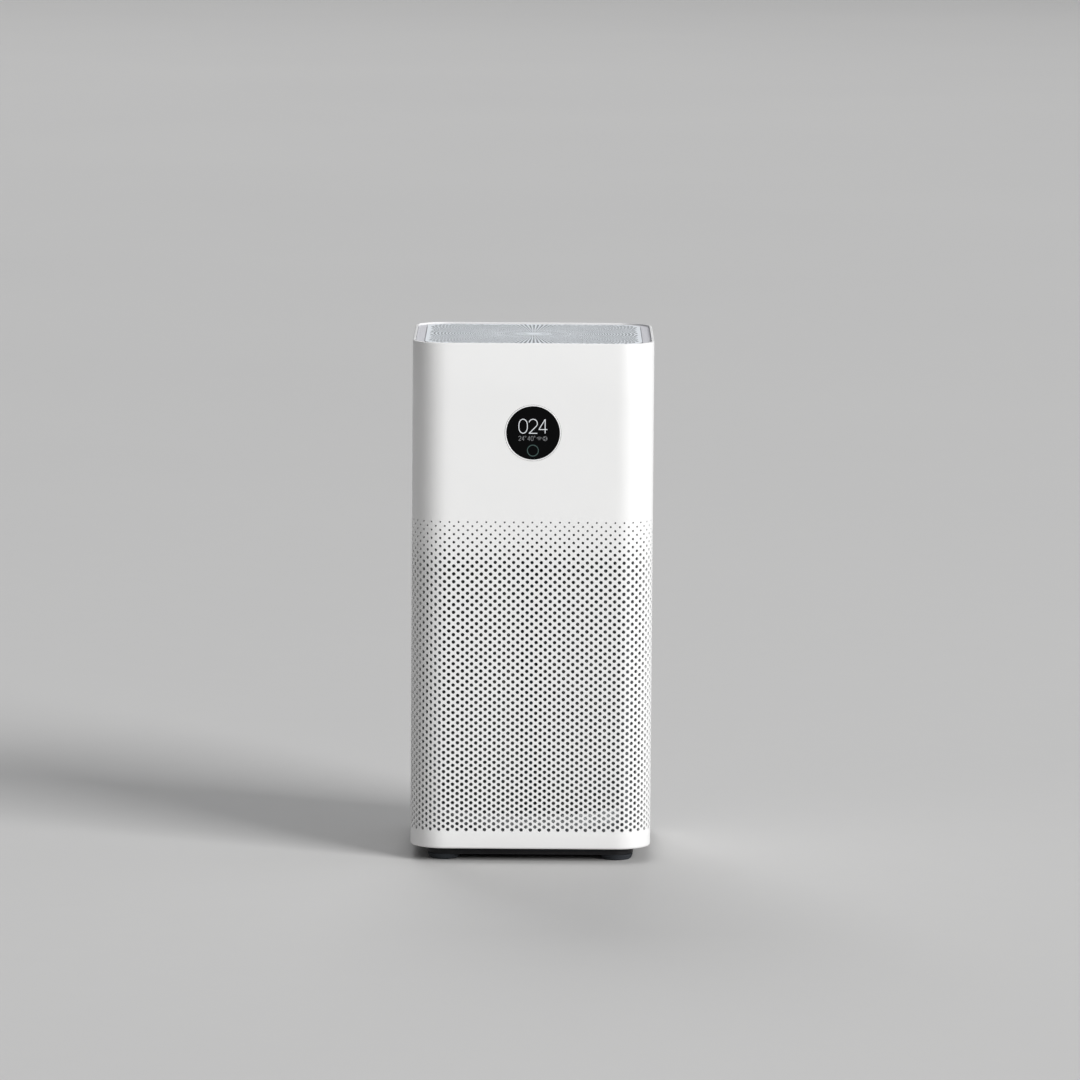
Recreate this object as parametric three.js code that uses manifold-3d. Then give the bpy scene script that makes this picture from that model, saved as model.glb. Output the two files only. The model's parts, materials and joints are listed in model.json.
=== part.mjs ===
// A tower air purifier as an assembly of its separate pieces, for three.js.
// Millimetres, +Z up, the front faces -Y, and the origin is on the floor under the middle of the tower.
// Air enters through the lower casing, crosses an upright filter cartridge from outside to inside,
// is drawn up by a centrifugal fan and leaves through the round-patterned grille on top.
import * as THREE from "three";
import { mergeVertices } from "three/addons/utils/BufferGeometryUtils.js";
import Module from "manifold-3d";

const wasm = await Module();
wasm.setup();

// ---------------------------------------------------------------- driving dimensions
const WIDTH = 240; // outside, left to right and front to back
const HEIGHT = 520; // floor to rim
const CORNER = 35; // radius of the casing's upright corners
const WALL = 2.5;
const GAP = 0.3; // between neighbours that meet
const FLOOR_CLEARANCE = 14; // floor to the casing's lower edge

const RIM_RECESS = 1.6; // from the rim down to the frame round the grille
const FRAME_WIDTH = 9; // of that frame, seen from above
const GRILLE_RECESS = 1.1; // from the rim down to the grille
const GRILLE_THICKNESS = 2.5;

const DISPLAY_Z = 431;
const DISPLAY_RADIUS = 28; // of the hole in the casing
const DISPLAY_RIM = 1.1; // width of the bright ring in that hole
const TOUCH_DROP = 17.5; // the touch key's centre under the display's

const PAN_HALF = 103; // the base pan is set back under the casing
const PAN_CORNER = 20;
const PAN_BOTTOM = 6;
const DECK_TOP = 29.7; // the filter stands on this deck
const UPPER_DECK = [345, 348];

const DOOR_SEAM_Y = 80; // the door wraps round both rear corners to here
const DOOR_LEVELS = [30, 354];

const FILTER_RADIUS = 98; // over the end caps
const FILTER_LEVELS = [30.1, 341];
const FILTER_CAP = 14; // height of each end cap
const FILTER_BORE = 62;
const PLEATS = 40;

const IMPELLER_RADIUS = 90;
const IMPELLER_LEVELS = [359.5, 424]; // front ring to back plate
const IMPELLER_BLADES = 11;
const DUCT_RADIUS = 101; // inside
const DUCT_WALL = 2;
const DUCT_TOP = 490;
const HUB_RADIUS = 52; // of the fixed hub that holds the motor
const GUIDE_VANES = 9;

// ---------------------------------------------------------------- worked out from them
const HALF = WIDTH / 2;
const INNER_HALF = HALF - WALL;
const INNER_CORNER = CORNER - WALL;
const LINER_HALF = INNER_HALF - GAP; // what fits inside the casing
const LINER_CORNER = INNER_CORNER - GAP;
const FRAME_TOP = HEIGHT - RIM_RECESS;
const FRAME_HEIGHT = 7.4;
const OPENING_HALF = LINER_HALF - FRAME_WIDTH;
const OPENING_CORNER = LINER_CORNER - FRAME_WIDTH;
const GRILLE_LEVELS = [HEIGHT - GRILLE_RECESS - GRILLE_THICKNESS, HEIGHT - GRILLE_RECESS];
const EVERYTHING = [-1, HEIGHT + 1]; // heights that clear the whole tower

// ---------------------------------------------------------------- solid helpers
/** A closed geometry as a manifold-3d solid. */
function solidOf(geometry) {
  const bare = geometry.clone();
  bare.deleteAttribute("normal");
  bare.deleteAttribute("uv");
  const merged = mergeVertices(bare, 1e-4);
  return new wasm.Manifold(
    new wasm.Mesh({
      numProp: 3,
      vertProperties: new Float32Array(merged.attributes.position.array),
      triVerts: new Uint32Array(merged.index.array),
    }),
  );
}

/** A manifold-3d solid as a geometry with flat faces. */
function geometryOf(solid) {
  const mesh = solid.getMesh();
  const position = new Float32Array(mesh.numVert * 3);
  for (let i = 0; i < mesh.numVert; i++)
    position.set(mesh.vertProperties.subarray(i * mesh.numProp, i * mesh.numProp + 3), i * 3);
  const indexed = new THREE.BufferGeometry();
  indexed.setAttribute("position", new THREE.BufferAttribute(position, 3));
  indexed.setIndex(new THREE.BufferAttribute(new Uint32Array(mesh.triVerts), 1));
  const flat = indexed.toNonIndexed();
  flat.computeVertexNormals();
  return flat;
}

const join = (...pieces) => geometryOf(pieces.map(solidOf).reduce((a, b) => a.add(b)));

const cut = (piece, ...tools) =>
  geometryOf(tools.map(solidOf).reduce((a, b) => a.subtract(b), solidOf(piece)));

// ---------------------------------------------------------------- basic shapes
/** A box from its limits along X, Y and Z. */
function box([x0, x1], [y0, y1], [z0, z1]) {
  const made = new THREE.BoxGeometry(x1 - x0, y1 - y0, z1 - z0);
  return made.translate((x0 + x1) / 2, (y0 + y1) / 2, (z0 + z1) / 2);
}

/** An upright cylinder. */
function post(radius, [z0, z1], x = 0, y = 0, sides = 32) {
  const made = new THREE.CylinderGeometry(radius, radius, z1 - z0, sides);
  return made.rotateX(Math.PI / 2).translate(x, y, (z0 + z1) / 2);
}

/** A cylinder lying front to back. */
function peg(radius, [y0, y1], x, z, sides = 24) {
  const made = new THREE.CylinderGeometry(radius, radius, y1 - y0, sides);
  return made.translate(x, (y0 + y1) / 2, z);
}

/** A body of revolution about Z from a closed [radius, z] profile, which runs anticlockwise. */
function turned(profile, sides = 36) {
  const points = [...profile, profile[0]].map(([r, z]) => new THREE.Vector2(r, z));
  return new THREE.LatheGeometry(points, sides).rotateX(Math.PI / 2);
}

/** A solid body of revolution whose profile starts and ends on the axis. */
function spindle(profile, sides = 24) {
  const points = profile.map(([r, z]) => new THREE.Vector2(r, z));
  return new THREE.LatheGeometry(points, sides).rotateX(Math.PI / 2);
}

const ring = (outer, inner, [z0, z1], sides = 36) =>
  turned([[inner, z0], [outer, z0], [outer, z1], [inner, z1]], sides);

/** The outline of a square with round corners, centred on the axis. */
function roundedSquare(half, radius) {
  const flat = half - radius;
  const shape = new THREE.Shape();
  shape.moveTo(-flat, -half);
  shape.absarc(flat, -flat, radius, -Math.PI / 2, 0, false);
  shape.absarc(flat, flat, radius, 0, Math.PI / 2, false);
  shape.absarc(-flat, flat, radius, Math.PI / 2, Math.PI, false);
  shape.absarc(-flat, -flat, radius, Math.PI, 1.5 * Math.PI, false);
  return shape;
}

/** An outline pulled upright between two heights. */
function prism(shape, [z0, z1], curveSegments = 5) {
  const made = new THREE.ExtrudeGeometry(shape, { depth: z1 - z0, bevelEnabled: false, curveSegments });
  return made.translate(0, 0, z0);
}

const slab = (half, radius, levels) => prism(roundedSquare(half, radius), levels);

/** The outline of a thin vane that sweeps round the axis as it runs outwards. */
function vaneOutline(inner, outer, sweep, thickness, steps = 6) {
  const side = (sign) =>
    Array.from({ length: steps + 1 }, (_, i) => {
      const share = i / steps;
      const radius = inner + (outer - inner) * share;
      const angle = sweep * share + (sign * thickness) / 2 / radius;
      return new THREE.Vector2(radius * Math.cos(angle), radius * Math.sin(angle));
    });
  return new THREE.Shape([...side(-1), ...side(1).reverse()]);
}

/** Copies of a geometry spaced evenly round the axis. */
const roundAxis = (geometry, count) =>
  Array.from({ length: count }, (_, i) => geometry.clone().rotateZ((2 * Math.PI * i) / count));

/** The same place in each corner: [x, y] with both signs. */
const cornersAt = (x, y = x) => [[-x, -y], [x, -y], [x, y], [-x, y]];

/** The two limits of a length that lies on one side of the middle plane. */
const span = (side, near, far) => (side > 0 ? [near, far] : [-far, -near]);

// ---------------------------------------------------------------- casing
const SENSOR_X = [41.4, 77.4]; // the particle sensor's cover, high on the back
const SENSOR_Z = [444, 474];
const BUTTON_Z = 500;
const BUTTON_RADIUS = 5.5;
const INLET_HALF = 10.5; // half width of the mains inlet
const INLET_Z = [16.6, 26.7];
const CATCH_Z = [355.2, 358.2]; // the rib that the door's latch catches under

const grown = ([a, b], by = GAP) => [a - by, b + by];

function mainCasing() {
  const band = cut(slab(HALF, CORNER, [FLOOR_CLEARANCE, HEIGHT]), slab(INNER_HALF, INNER_CORNER, EVERYTHING));
  const rear = [INNER_HALF - 5, HALF + 1];
  const doorway = box([-HALF - 1, HALF + 1], [DOOR_SEAM_Y - GAP / 2, HALF + 1], grown(DOOR_LEVELS));
  const displayHole = peg(DISPLAY_RADIUS, [-HALF - 1, -INNER_HALF + 1], 0, DISPLAY_Z, 48);
  const sensorHole = box(grown(SENSOR_X), rear, grown(SENSOR_Z));
  const buttonHole = peg(BUTTON_RADIUS + GAP, rear, 0, BUTTON_Z);
  const inletHole = box([-INLET_HALF - GAP, INLET_HALF + GAP], rear, grown(INLET_Z));
  const catchRib = box([-14, 14], [111, INNER_HALF + 1], CATCH_Z);
  return join(cut(band, doorway, displayHole, sensorHole, buttonHole, inletHole), catchRib);
}

function topFrame() {
  const bottom = FRAME_TOP - FRAME_HEIGHT;
  const band = cut(
    slab(LINER_HALF, LINER_CORNER, [bottom, FRAME_TOP]),
    slab(OPENING_HALF, OPENING_CORNER, EVERYTHING),
  );
  const ledge = cut(
    slab(OPENING_HALF + 1, OPENING_CORNER + 1, [bottom, GRILLE_LEVELS[0] - GAP]),
    slab(OPENING_HALF - 3, OPENING_CORNER - 3, EVERYTHING),
  );
  return join(band, ledge);
}

function topGrille() {
  const plate = slab(OPENING_HALF - GAP, OPENING_CORNER - GAP, GRILLE_LEVELS);
  const slots = [20, 42, 64, 86].map((inner) => ring(inner + 15, inner, grown(GRILLE_LEVELS, 1), 32));
  const spokes = roundAxis(box([15, 104], [-2, 2], GRILLE_LEVELS), 8);
  return join(cut(plate, ...slots), ...spokes);
}

// ---------------------------------------------------------------- base
const SCREW_PLACES = cornersAt(110, 40);
const SCREW_CLEARANCE = 1.8;
const FLANGE_TOP = FLOOR_CLEARANCE + 2.3;
const BOARD_Z = [11, 12.6];
const STANDOFFS = cornersAt(60, 28);

function basePan() {
  const tray = slab(PAN_HALF, PAN_CORNER, [PAN_BOTTOM, FLOOR_CLEARANCE + 0.6]);
  const flange = slab(LINER_HALF, LINER_CORNER, [FLOOR_CLEARANCE + GAP, FLANGE_TOP]);
  const hollow = slab(PAN_HALF - WALL, PAN_CORNER - WALL, [PAN_BOTTOM + WALL, 40]);
  const holes = SCREW_PLACES.map(([x, y]) => post(SCREW_CLEARANCE, [0, 40], x, y, 16));
  const supports = STANDOFFS.map(([x, y]) => post(3, [PAN_BOTTOM + WALL - 0.5, BOARD_Z[0] - GAP], x, y, 12));
  return join(cut(join(tray, flange), hollow, ...holes), ...supports);
}

function lowerDeck() {
  const plate = slab(LINER_HALF, LINER_CORNER, [DECK_TOP - 2.7, DECK_TOP]);
  const below = [FLANGE_TOP + GAP, DECK_TOP - 2];
  const skirt = cut(slab(LINER_HALF, LINER_CORNER, below), slab(LINER_HALF - 2, LINER_CORNER - 2, EVERYTHING));
  const bosses = SCREW_PLACES.map(([x, y]) => post(4, below, x, y, 16));
  const holes = SCREW_PLACES.map(([x, y]) => post(SCREW_CLEARANCE, [0, 24], x, y, 16));
  const inletNotch = box([-INLET_HALF - GAP, INLET_HALF + GAP], [90, HALF], [0, INLET_Z[1] + 0.2]);
  return cut(join(plate, skirt, ...bosses), inletNotch, ...holes);
}

const foot = ([x, y]) =>
  spindle([[0, 0], [13.5, 0], [15.4, 1.2], [16.5, PAN_BOTTOM - GAP], [0, PAN_BOTTOM - GAP]]).translate(x, y, 0);

function baseScrew([x, y]) {
  const head = post(3.2, [12.3, FLOOR_CLEARANCE], x, y, 16);
  const shank = post(1.5, [13.5, 23], x, y, 12);
  const recess = box([x - 2, x + 2], [y - 0.4, y + 0.4], [12, 13]);
  const crossRecess = box([x - 0.4, x + 0.4], [y - 2, y + 2], [12, 13]);
  return cut(join(head, shank), recess, crossRecess);
}

// ---------------------------------------------------------------- mains supply, in the base
const PIN_X = 4.3; // each pin from the middle
const INLET_MIDDLE = (INLET_Z[0] + INLET_Z[1]) / 2;

/** A slot outline with round ends, centred. */
function slotOutline(width, height) {
  const flat = (width - height) / 2;
  const shape = new THREE.Shape();
  shape.moveTo(-flat, -height / 2);
  shape.absarc(flat, 0, height / 2, -Math.PI / 2, Math.PI / 2, false);
  shape.absarc(-flat, 0, height / 2, Math.PI / 2, 1.5 * Math.PI, false);
  return shape;
}

function powerInlet() {
  const housing = box([-INLET_HALF, INLET_HALF], [101, HALF - 0.2], INLET_Z);
  const socket = prism(slotOutline(15, 8), [0, 14]).rotateX(Math.PI / 2).translate(0, HALF + 1, INLET_MIDDLE);
  const pinHoles = [-PIN_X, PIN_X].map((x) => peg(1.5, [95, HALF], x, INLET_MIDDLE, 16));
  return cut(housing, socket, ...pinHoles);
}

const inletPin = (x) => peg(1.2, [99, 116], x, INLET_MIDDLE, 12);

function supplyTransformer() {
  const core = box([-52, -26], [-16, 8], [BOARD_Z[1] + GAP, 25.5]);
  const coil = box([-49, -29], [-20, 12], [BOARD_Z[1] + 1, 23.5]);
  return join(core, coil);
}

const supplyCapacitor = () =>
  new THREE.CylinderGeometry(6, 6, 26, 20).rotateZ(Math.PI / 2).translate(20, -14, BOARD_Z[1] + GAP + 6);

/** A round wire along a smooth curve through its points. */
function wire(points, radius, steps, sides = 8) {
  const corners = Array.from({ length: sides }, (_, i) => (2 * Math.PI * i) / sides);
  const section = new THREE.Shape(
    corners.map((a) => new THREE.Vector2(radius * Math.cos(a), radius * Math.sin(a))),
  );
  const path = new THREE.CatmullRomCurve3(points.map((p) => new THREE.Vector3(...p)));
  return new THREE.ExtrudeGeometry(section, { steps, extrudePath: path, bevelEnabled: false });
}

const supplyCable = () =>
  wire([[0, 97, 21], [0, 88, 20], [-8, 70, 19], [-20, 50, 18], [-36, 38, 17], [-48, 24, 15.2]], 2, 20);

// ---------------------------------------------------------------- chassis between the decks
const POST_LEVELS = [DECK_TOP + GAP, UPPER_DECK[0] - GAP];
const DOOR_PEG_X = 105;
const DOOR_PEG_Z = 38;
const DOOR_PEG_RADIUS = 2;

const frontPost = (x) => post(5, POST_LEVELS, x, -95, 20);

const rearPost = (side) =>
  cut(
    box(span(side, 100.5, 111), [86, 98], POST_LEVELS),
    peg(DOOR_PEG_RADIUS + 0.4, [88, 99], side * DOOR_PEG_X, DOOR_PEG_Z, 16),
  );

const BELL_SPIGOT = 71; // radius of the part of the bell that sits in the deck
const BELL_TIP = IMPELLER_LEVELS[0] - 2.5;

function upperDeck() {
  const hole = post(BELL_SPIGOT + GAP, EVERYTHING, 0, 0, 36);
  const latchNotch = box([-22.5, 22.5], [111.5, HALF], EVERYTHING);
  return cut(slab(LINER_HALF, LINER_CORNER, UPPER_DECK), hole, latchNotch);
}

/** The bell mouth that leads air from the filter's bore into the impeller. */
function inletBell() {
  const flange = [UPPER_DECK[1] + GAP, UPPER_DECK[1] + GAP + 2];
  return turned([[62, UPPER_DECK[0]], [BELL_SPIGOT, UPPER_DECK[0]], [BELL_SPIGOT, flange[0]], [80, flange[0]],
    [80, flange[1]], [66, flange[1]], [58.5, BELL_TIP], [56, BELL_TIP], [57.5, flange[1]]]);
}

// ---------------------------------------------------------------- rear door and its latch
const LATCH_WINDOW = { x: [-13.7, 13.7], z: [326.5, 342.6] };
const LATCH_PAD = { x: [-13.1, 13.1], y: [116, 119.4], z: [330.4, 342.3] };
const LATCH_PLATE = { x: [-17, 17], y: [114, 117.2], z: [322, 350] };
const LATCH_TIP_Z = 354.7;
const SPRING_SEAT_Z = [306, 309];

function rearDoor() {
  const band = cut(slab(HALF, CORNER, DOOR_LEVELS), slab(INNER_HALF, INNER_CORNER, EVERYTHING));
  const inFront = box([-HALF - 1, HALF + 1], [-HALF - 1, DOOR_SEAM_Y + GAP / 2], EVERYTHING);
  const padHole = box(LATCH_WINDOW.x, [INNER_HALF - 1, HALF + 1], LATCH_WINDOW.z);
  const depth = [112.5, INNER_HALF + 1];
  const rails = [-1, 1].map((side) => box(span(side, 17.5, 20.5), depth, [SPRING_SEAT_Z[0], 352]));
  const seat = box([-18, 18], depth, SPRING_SEAT_Z);
  const pegs = [-1, 1].map((side) =>
    peg(DOOR_PEG_RADIUS, [90, 111.8], side * DOOR_PEG_X, DOOR_PEG_Z, 12),
  );
  return join(cut(band, inFront, padHole), ...rails, seat, ...pegs);
}

function doorLatch() {
  const plate = box(LATCH_PLATE.x, LATCH_PLATE.y, LATCH_PLATE.z);
  const pad = box(LATCH_PAD.x, LATCH_PAD.y, LATCH_PAD.z);
  const grip = box([-8, 8], [118.4, 120], [338.5, 340]);
  const tongue = box([-8, 8], LATCH_PLATE.y, [349, LATCH_TIP_Z]);
  return cut(join(plate, pad, tongue), grip);
}

function latchSpring() {
  const turns = 5;
  const perTurn = 8;
  const [bottom, top] = [SPRING_SEAT_Z[1] + 0.7, LATCH_PLATE.z[0] - 0.7];
  const points = Array.from({ length: turns * perTurn + 1 }, (_, i) => {
    const angle = (2 * Math.PI * i) / perTurn;
    const z = bottom + ((top - bottom) * i) / (turns * perTurn);
    return [1.6 * Math.cos(angle), 115 + 1.6 * Math.sin(angle), z];
  });
  return wire(points, 0.35, turns * perTurn, 5);
}

// ---------------------------------------------------------------- filter cartridge
const MEDIA_LEVELS = [FILTER_LEVELS[0] + FILTER_CAP + GAP, FILTER_LEVELS[1] - FILTER_CAP - GAP];

const filterTopCap = () =>
  ring(FILTER_RADIUS, FILTER_BORE, [FILTER_LEVELS[1] - FILTER_CAP, FILTER_LEVELS[1]]);

const filterBottomCap = () =>
  post(FILTER_RADIUS, [FILTER_LEVELS[0], FILTER_LEVELS[0] + FILTER_CAP], 0, 0, 48);

/** A zigzag loop round the axis between two radii. */
function zigzag(outer, inner) {
  return Array.from({ length: PLEATS * 2 }, (_, i) => {
    const angle = (Math.PI * i) / PLEATS;
    const radius = i % 2 ? inner : outer;
    return new THREE.Vector2(radius * Math.cos(angle), radius * Math.sin(angle));
  });
}

function filterPleats() {
  const outline = new THREE.Shape(zigzag(94, 74));
  outline.holes.push(new THREE.Path(zigzag(92, 72)));
  return prism(outline, MEDIA_LEVELS);
}

const filterNet = () => ring(96.2, 95, MEDIA_LEVELS);
const carbonCore = () => ring(70.5, 63, MEDIA_LEVELS);
const filterSeal = () => ring(74, 64, [FILTER_LEVELS[1] + GAP, UPPER_DECK[0] - GAP]);
const pullTab = () => box([-11, 11], [98.4, 99.6], [292, 339]);

// ---------------------------------------------------------------- fan, from the inlet up
const SHAFT_RADIUS = 4;

function impeller() {
  const [bottom, top] = IMPELLER_LEVELS;
  const frontRing = turned([[60, bottom], [63, bottom], [IMPELLER_RADIUS, bottom + 8],
    [IMPELLER_RADIUS, bottom + 10], [60, bottom + 2.5]]);
  const outline = vaneOutline(61, IMPELLER_RADIUS - 1, 0.5, 1.8);
  const blades = roundAxis(prism(outline, [bottom + 1.5, top - 1]), IMPELLER_BLADES);
  const underRing = turned([[50, bottom - 8], [95, bottom - 8], [95, bottom + 10.5],
    [IMPELLER_RADIUS, bottom + 9], [63, bottom + 1]]);
  const backPlate = turned([[SHAFT_RADIUS + GAP, top - 2], [IMPELLER_RADIUS, top - 2],
    [IMPELLER_RADIUS, top], [12, top], [12, top + 12], [SHAFT_RADIUS + GAP, top + 12]]);
  return join(frontRing, ...blades.map((blade) => cut(blade, underRing)), backPlate);
}

const fanShaft = () => post(SHAFT_RADIUS, [419, 470], 0, 0, 24);

const rotorCan = () =>
  turned([[SHAFT_RADIUS + GAP, 437], [32, 437], [32, 461], [30, 461], [30, 439], [SHAFT_RADIUS + GAP, 439]]);

function motorStator() {
  const core = ring(16, 12, [443, 457]);
  const teeth = roundAxis(box([15, 29], [-2, 2], [445, 455]), 9);
  const coils = roundAxis(box([17, 26], [-3.6, 3.6], [443.5, 456.5]), 9);
  return join(core, ...teeth, ...coils);
}

/** The plate and bearing tube that carry the motor inside the fixed hub. */
const motorMount = () =>
  turned([[8.2, 441], [11.7, 441], [11.7, 466], [HUB_RADIUS - 2.3, 466], [HUB_RADIUS - 2.3, 469], [8.2, 469]]);

const fanBearing = (bottom) => ring(7.9, SHAFT_RADIUS + GAP, [bottom, bottom + 5], 20);

/** The fixed hub and its guide vanes, which straighten the flow above the impeller. */
function guideVanes() {
  const hub = ring(HUB_RADIUS, HUB_RADIUS - 2, [428, 474]);
  const rim = ring(DUCT_RADIUS - GAP, DUCT_RADIUS - 2.3, [430, 474]);
  const outline = vaneOutline(HUB_RADIUS - 1, DUCT_RADIUS - 1.5, -0.35, 2);
  return join(hub, rim, ...roundAxis(prism(outline, [432, 472]), GUIDE_VANES));
}

const hubCap = () =>
  spindle([[0, 474.3], [HUB_RADIUS, 474.3], [HUB_RADIUS - 2, 477], [HUB_RADIUS - 18, 480], [0, 481]], 36);

const fanDuct = () => ring(DUCT_RADIUS + DUCT_WALL, DUCT_RADIUS, [UPPER_DECK[1] + GAP, DUCT_TOP], 48);

/** The plate round the top of the duct, which closes the space outside it. */
function outletDeck() {
  const hole = post(DUCT_RADIUS + DUCT_WALL + GAP, EVERYTHING, 0, 0, 48);
  return cut(slab(LINER_HALF, LINER_CORNER, [DUCT_TOP - 3, DUCT_TOP]), hole);
}

function fingerGuard() {
  const levels = [DUCT_TOP - 6, DUCT_TOP - 3.5];
  const hoops = [18, 38, 58, 78].map((radius) => ring(radius + 1, radius - 1, levels, 24));
  const rim = ring(DUCT_RADIUS - GAP, DUCT_RADIUS - 3, levels);
  const spokes = roundAxis(box([17.5, DUCT_RADIUS - 2], [-1, 1], levels), 8);
  return join(rim, ...hoops, ...spokes);
}

// ---------------------------------------------------------------- display and control
const RIM_INSIDE = DISPLAY_RADIUS - GAP - DISPLAY_RIM;

/** A shape made about Z, turned to face the front at a height. */
const facingFront = (geometry, z) => geometry.rotateX(Math.PI / 2).translate(0, 0, z);

const displayRing = () =>
  facingFront(ring(DISPLAY_RADIUS - GAP, RIM_INSIDE, [INNER_HALF + GAP, HALF], 48), DISPLAY_Z);
const displayLens = () => peg(RIM_INSIDE - GAP, [-HALF + 0.4, -INNER_HALF], 0, DISPLAY_Z, 48);
const touchKey = () => facingFront(ring(5.9, 5, [HALF - 0.25, HALF - 0.05], 24), DISPLAY_Z - TOUCH_DROP);
const displayPanel = () => box([-18, 18], [-INNER_HALF + GAP, -115.6], [DISPLAY_Z - 12, DISPLAY_Z + 18]);
const displayBoard = () => peg(30, [-115.3, -113.7], 0, DISPLAY_Z, 32);
const mainBoard = () => box([-36, 36], [-111, -109.4], [362, 478]);

function rearButton() {
  const cap = peg(BUTTON_RADIUS, [115.5, HALF - 0.1], 0, BUTTON_Z);
  const flange = peg(7.5, [114, 116], 0, BUTTON_Z);
  const stem = peg(2, [112.5, 115], 0, BUTTON_Z, 12);
  return join(cap, flange, stem);
}

const buttonSwitch = () =>
  join(box([-4, 4], [104, 109], [BUTTON_Z - 4, BUTTON_Z + 4]), peg(1.6, [108, 110.8], 0, BUTTON_Z, 12));
const buttonBoard = () => box([-12, 12], [102.1, 103.7], [DUCT_TOP + GAP, BUTTON_Z + 7]);

// ---------------------------------------------------------------- particle sensor
function particleSensor() {
  const housing = box([44, 76], [98, 113], [446, 472]);
  const airHole = peg(4, [105, 114], 60, 459, 20);
  return cut(housing, airHole);
}

function sensorCover() {
  const plate = box(SENSOR_X, [INNER_HALF - 0.5, HALF], SENSOR_Z);
  const slots = [450, 455, 460, 465].map((z) => box([48, 72], [110, HALF + 1], [z, z + 2]));
  return cut(plate, ...slots);
}

// ---------------------------------------------------------------- the assembly
const FINISH = {
  shell: { color: 0xebebea, roughness: 0.42, metalness: 0 },
  frame: { color: 0xe4e5e6, roughness: 0.45, metalness: 0 },
  grille: { color: 0xd4dbe1, roughness: 0.4, metalness: 0 },
  innerPlastic: { color: 0x8f9397, roughness: 0.55, metalness: 0 },
  blackPlastic: { color: 0x17181a, roughness: 0.5, metalness: 0 },
  glass: { color: 0x060709, roughness: 0.08, metalness: 0 },
  brightTrim: { color: 0xf6f6f6, roughness: 0.25, metalness: 0 },
  keyPrint: { color: 0x4d625f, roughness: 0.35, metalness: 0 },
  rubber: { color: 0x23272c, roughness: 0.8, metalness: 0 },
  foam: { color: 0x2b2c2e, roughness: 0.95, metalness: 0 },
  board: { color: 0x1d4a33, roughness: 0.45, metalness: 0 },
  steel: { color: 0xa4a7ab, roughness: 0.32, metalness: 1 },
  copper: { color: 0xa8652f, roughness: 0.4, metalness: 0.8 },
  brass: { color: 0xb99655, roughness: 0.3, metalness: 1 },
  media: { color: 0xe9e8e2, roughness: 0.95, metalness: 0 },
  net: { color: 0x3b4a52, roughness: 0.85, metalness: 0 },
  carbon: { color: 0x1b1b1c, roughness: 0.9, metalness: 0 },
  capPlastic: { color: 0xe7e9ea, roughness: 0.5, metalness: 0 },
  strap: { color: 0x2f5f7a, roughness: 0.9, metalness: 0 },
  cable: { color: 0x1b1b1d, roughness: 0.6, metalness: 0 },
};

const object = new THREE.Group();
object.name = "air_purifier";

function add(name, geometry, finish) {
  const mesh = new THREE.Mesh(geometry, new THREE.MeshStandardMaterial(FINISH[finish]));
  mesh.name = name;
  object.add(mesh);
}

add("main_casing", mainCasing(), "shell");
add("top_frame", topFrame(), "frame");
add("top_grille", topGrille(), "grille");

add("base_pan", basePan(), "blackPlastic");
add("lower_deck", lowerDeck(), "innerPlastic");
const CORNER_NAMES = ["front_left", "front_right", "rear_right", "rear_left"];
const FOOT_PLACES = cornersAt(86);
CORNER_NAMES.forEach((corner, i) => add(`foot_${corner}`, foot(FOOT_PLACES[i]), "rubber"));
CORNER_NAMES.forEach((corner, i) => add(`base_screw_${corner}`, baseScrew(SCREW_PLACES[i]), "steel"));

add("power_inlet", powerInlet(), "blackPlastic");
add("inlet_pin_left", inletPin(-PIN_X), "brass");
add("inlet_pin_right", inletPin(PIN_X), "brass");
add("supply_board", box([-70, 70], [-34, 34], BOARD_Z), "board");
add("supply_transformer", supplyTransformer(), "copper");
add("supply_capacitor", supplyCapacitor(), "blackPlastic");
add("supply_cable", supplyCable(), "cable");

add("post_front_left", frontPost(-95), "innerPlastic");
add("post_front_right", frontPost(95), "innerPlastic");
add("post_rear_left", rearPost(-1), "innerPlastic");
add("post_rear_right", rearPost(1), "innerPlastic");
add("upper_deck", upperDeck(), "innerPlastic");
add("inlet_bell", inletBell(), "innerPlastic");

add("rear_door", rearDoor(), "shell");
add("door_latch", doorLatch(), "frame");
add("latch_spring", latchSpring(), "steel");

add("filter_top_cap", filterTopCap(), "capPlastic");
add("filter_bottom_cap", filterBottomCap(), "capPlastic");
add("filter_pleats", filterPleats(), "media");
add("filter_net", filterNet(), "net");
add("filter_carbon_core", carbonCore(), "carbon");
add("filter_seal", filterSeal(), "foam");
add("filter_pull_tab", pullTab(), "strap");

add("impeller", impeller(), "innerPlastic");
add("fan_shaft", fanShaft(), "steel");
add("rotor_can", rotorCan(), "steel");
add("motor_stator", motorStator(), "copper");
add("motor_mount", motorMount(), "blackPlastic");
add("fan_bearing_lower", fanBearing(443), "steel");
add("fan_bearing_upper", fanBearing(459), "steel");
add("guide_vanes", guideVanes(), "innerPlastic");
add("hub_cap", hubCap(), "innerPlastic");
add("fan_duct", fanDuct(), "innerPlastic");
add("outlet_deck", outletDeck(), "innerPlastic");
add("finger_guard", fingerGuard(), "blackPlastic");

add("display_ring", displayRing(), "brightTrim");
add("display_lens", displayLens(), "glass");
add("touch_key", touchKey(), "keyPrint");
add("display_panel", displayPanel(), "blackPlastic");
add("display_board", displayBoard(), "board");
add("main_board", mainBoard(), "board");

add("rear_button", rearButton(), "frame");
add("button_switch", buttonSwitch(), "blackPlastic");
add("button_board", buttonBoard(), "board");
add("particle_sensor", particleSensor(), "blackPlastic");
add("sensor_cover", sensorCover(), "shell");

export default object;
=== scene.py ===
"""The looks of a tower air purifier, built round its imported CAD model.

Metres, +Z up, the front faces -Y. The casing's skins are worked out on its developed surface: a place on
it is (s, z), where s runs round the outside from the middle of the front towards +X, and z is the height.
"""

import functools
import json
import math

import bmesh
import bpy
import numpy as np
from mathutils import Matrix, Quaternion, Vector, geometry


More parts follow.
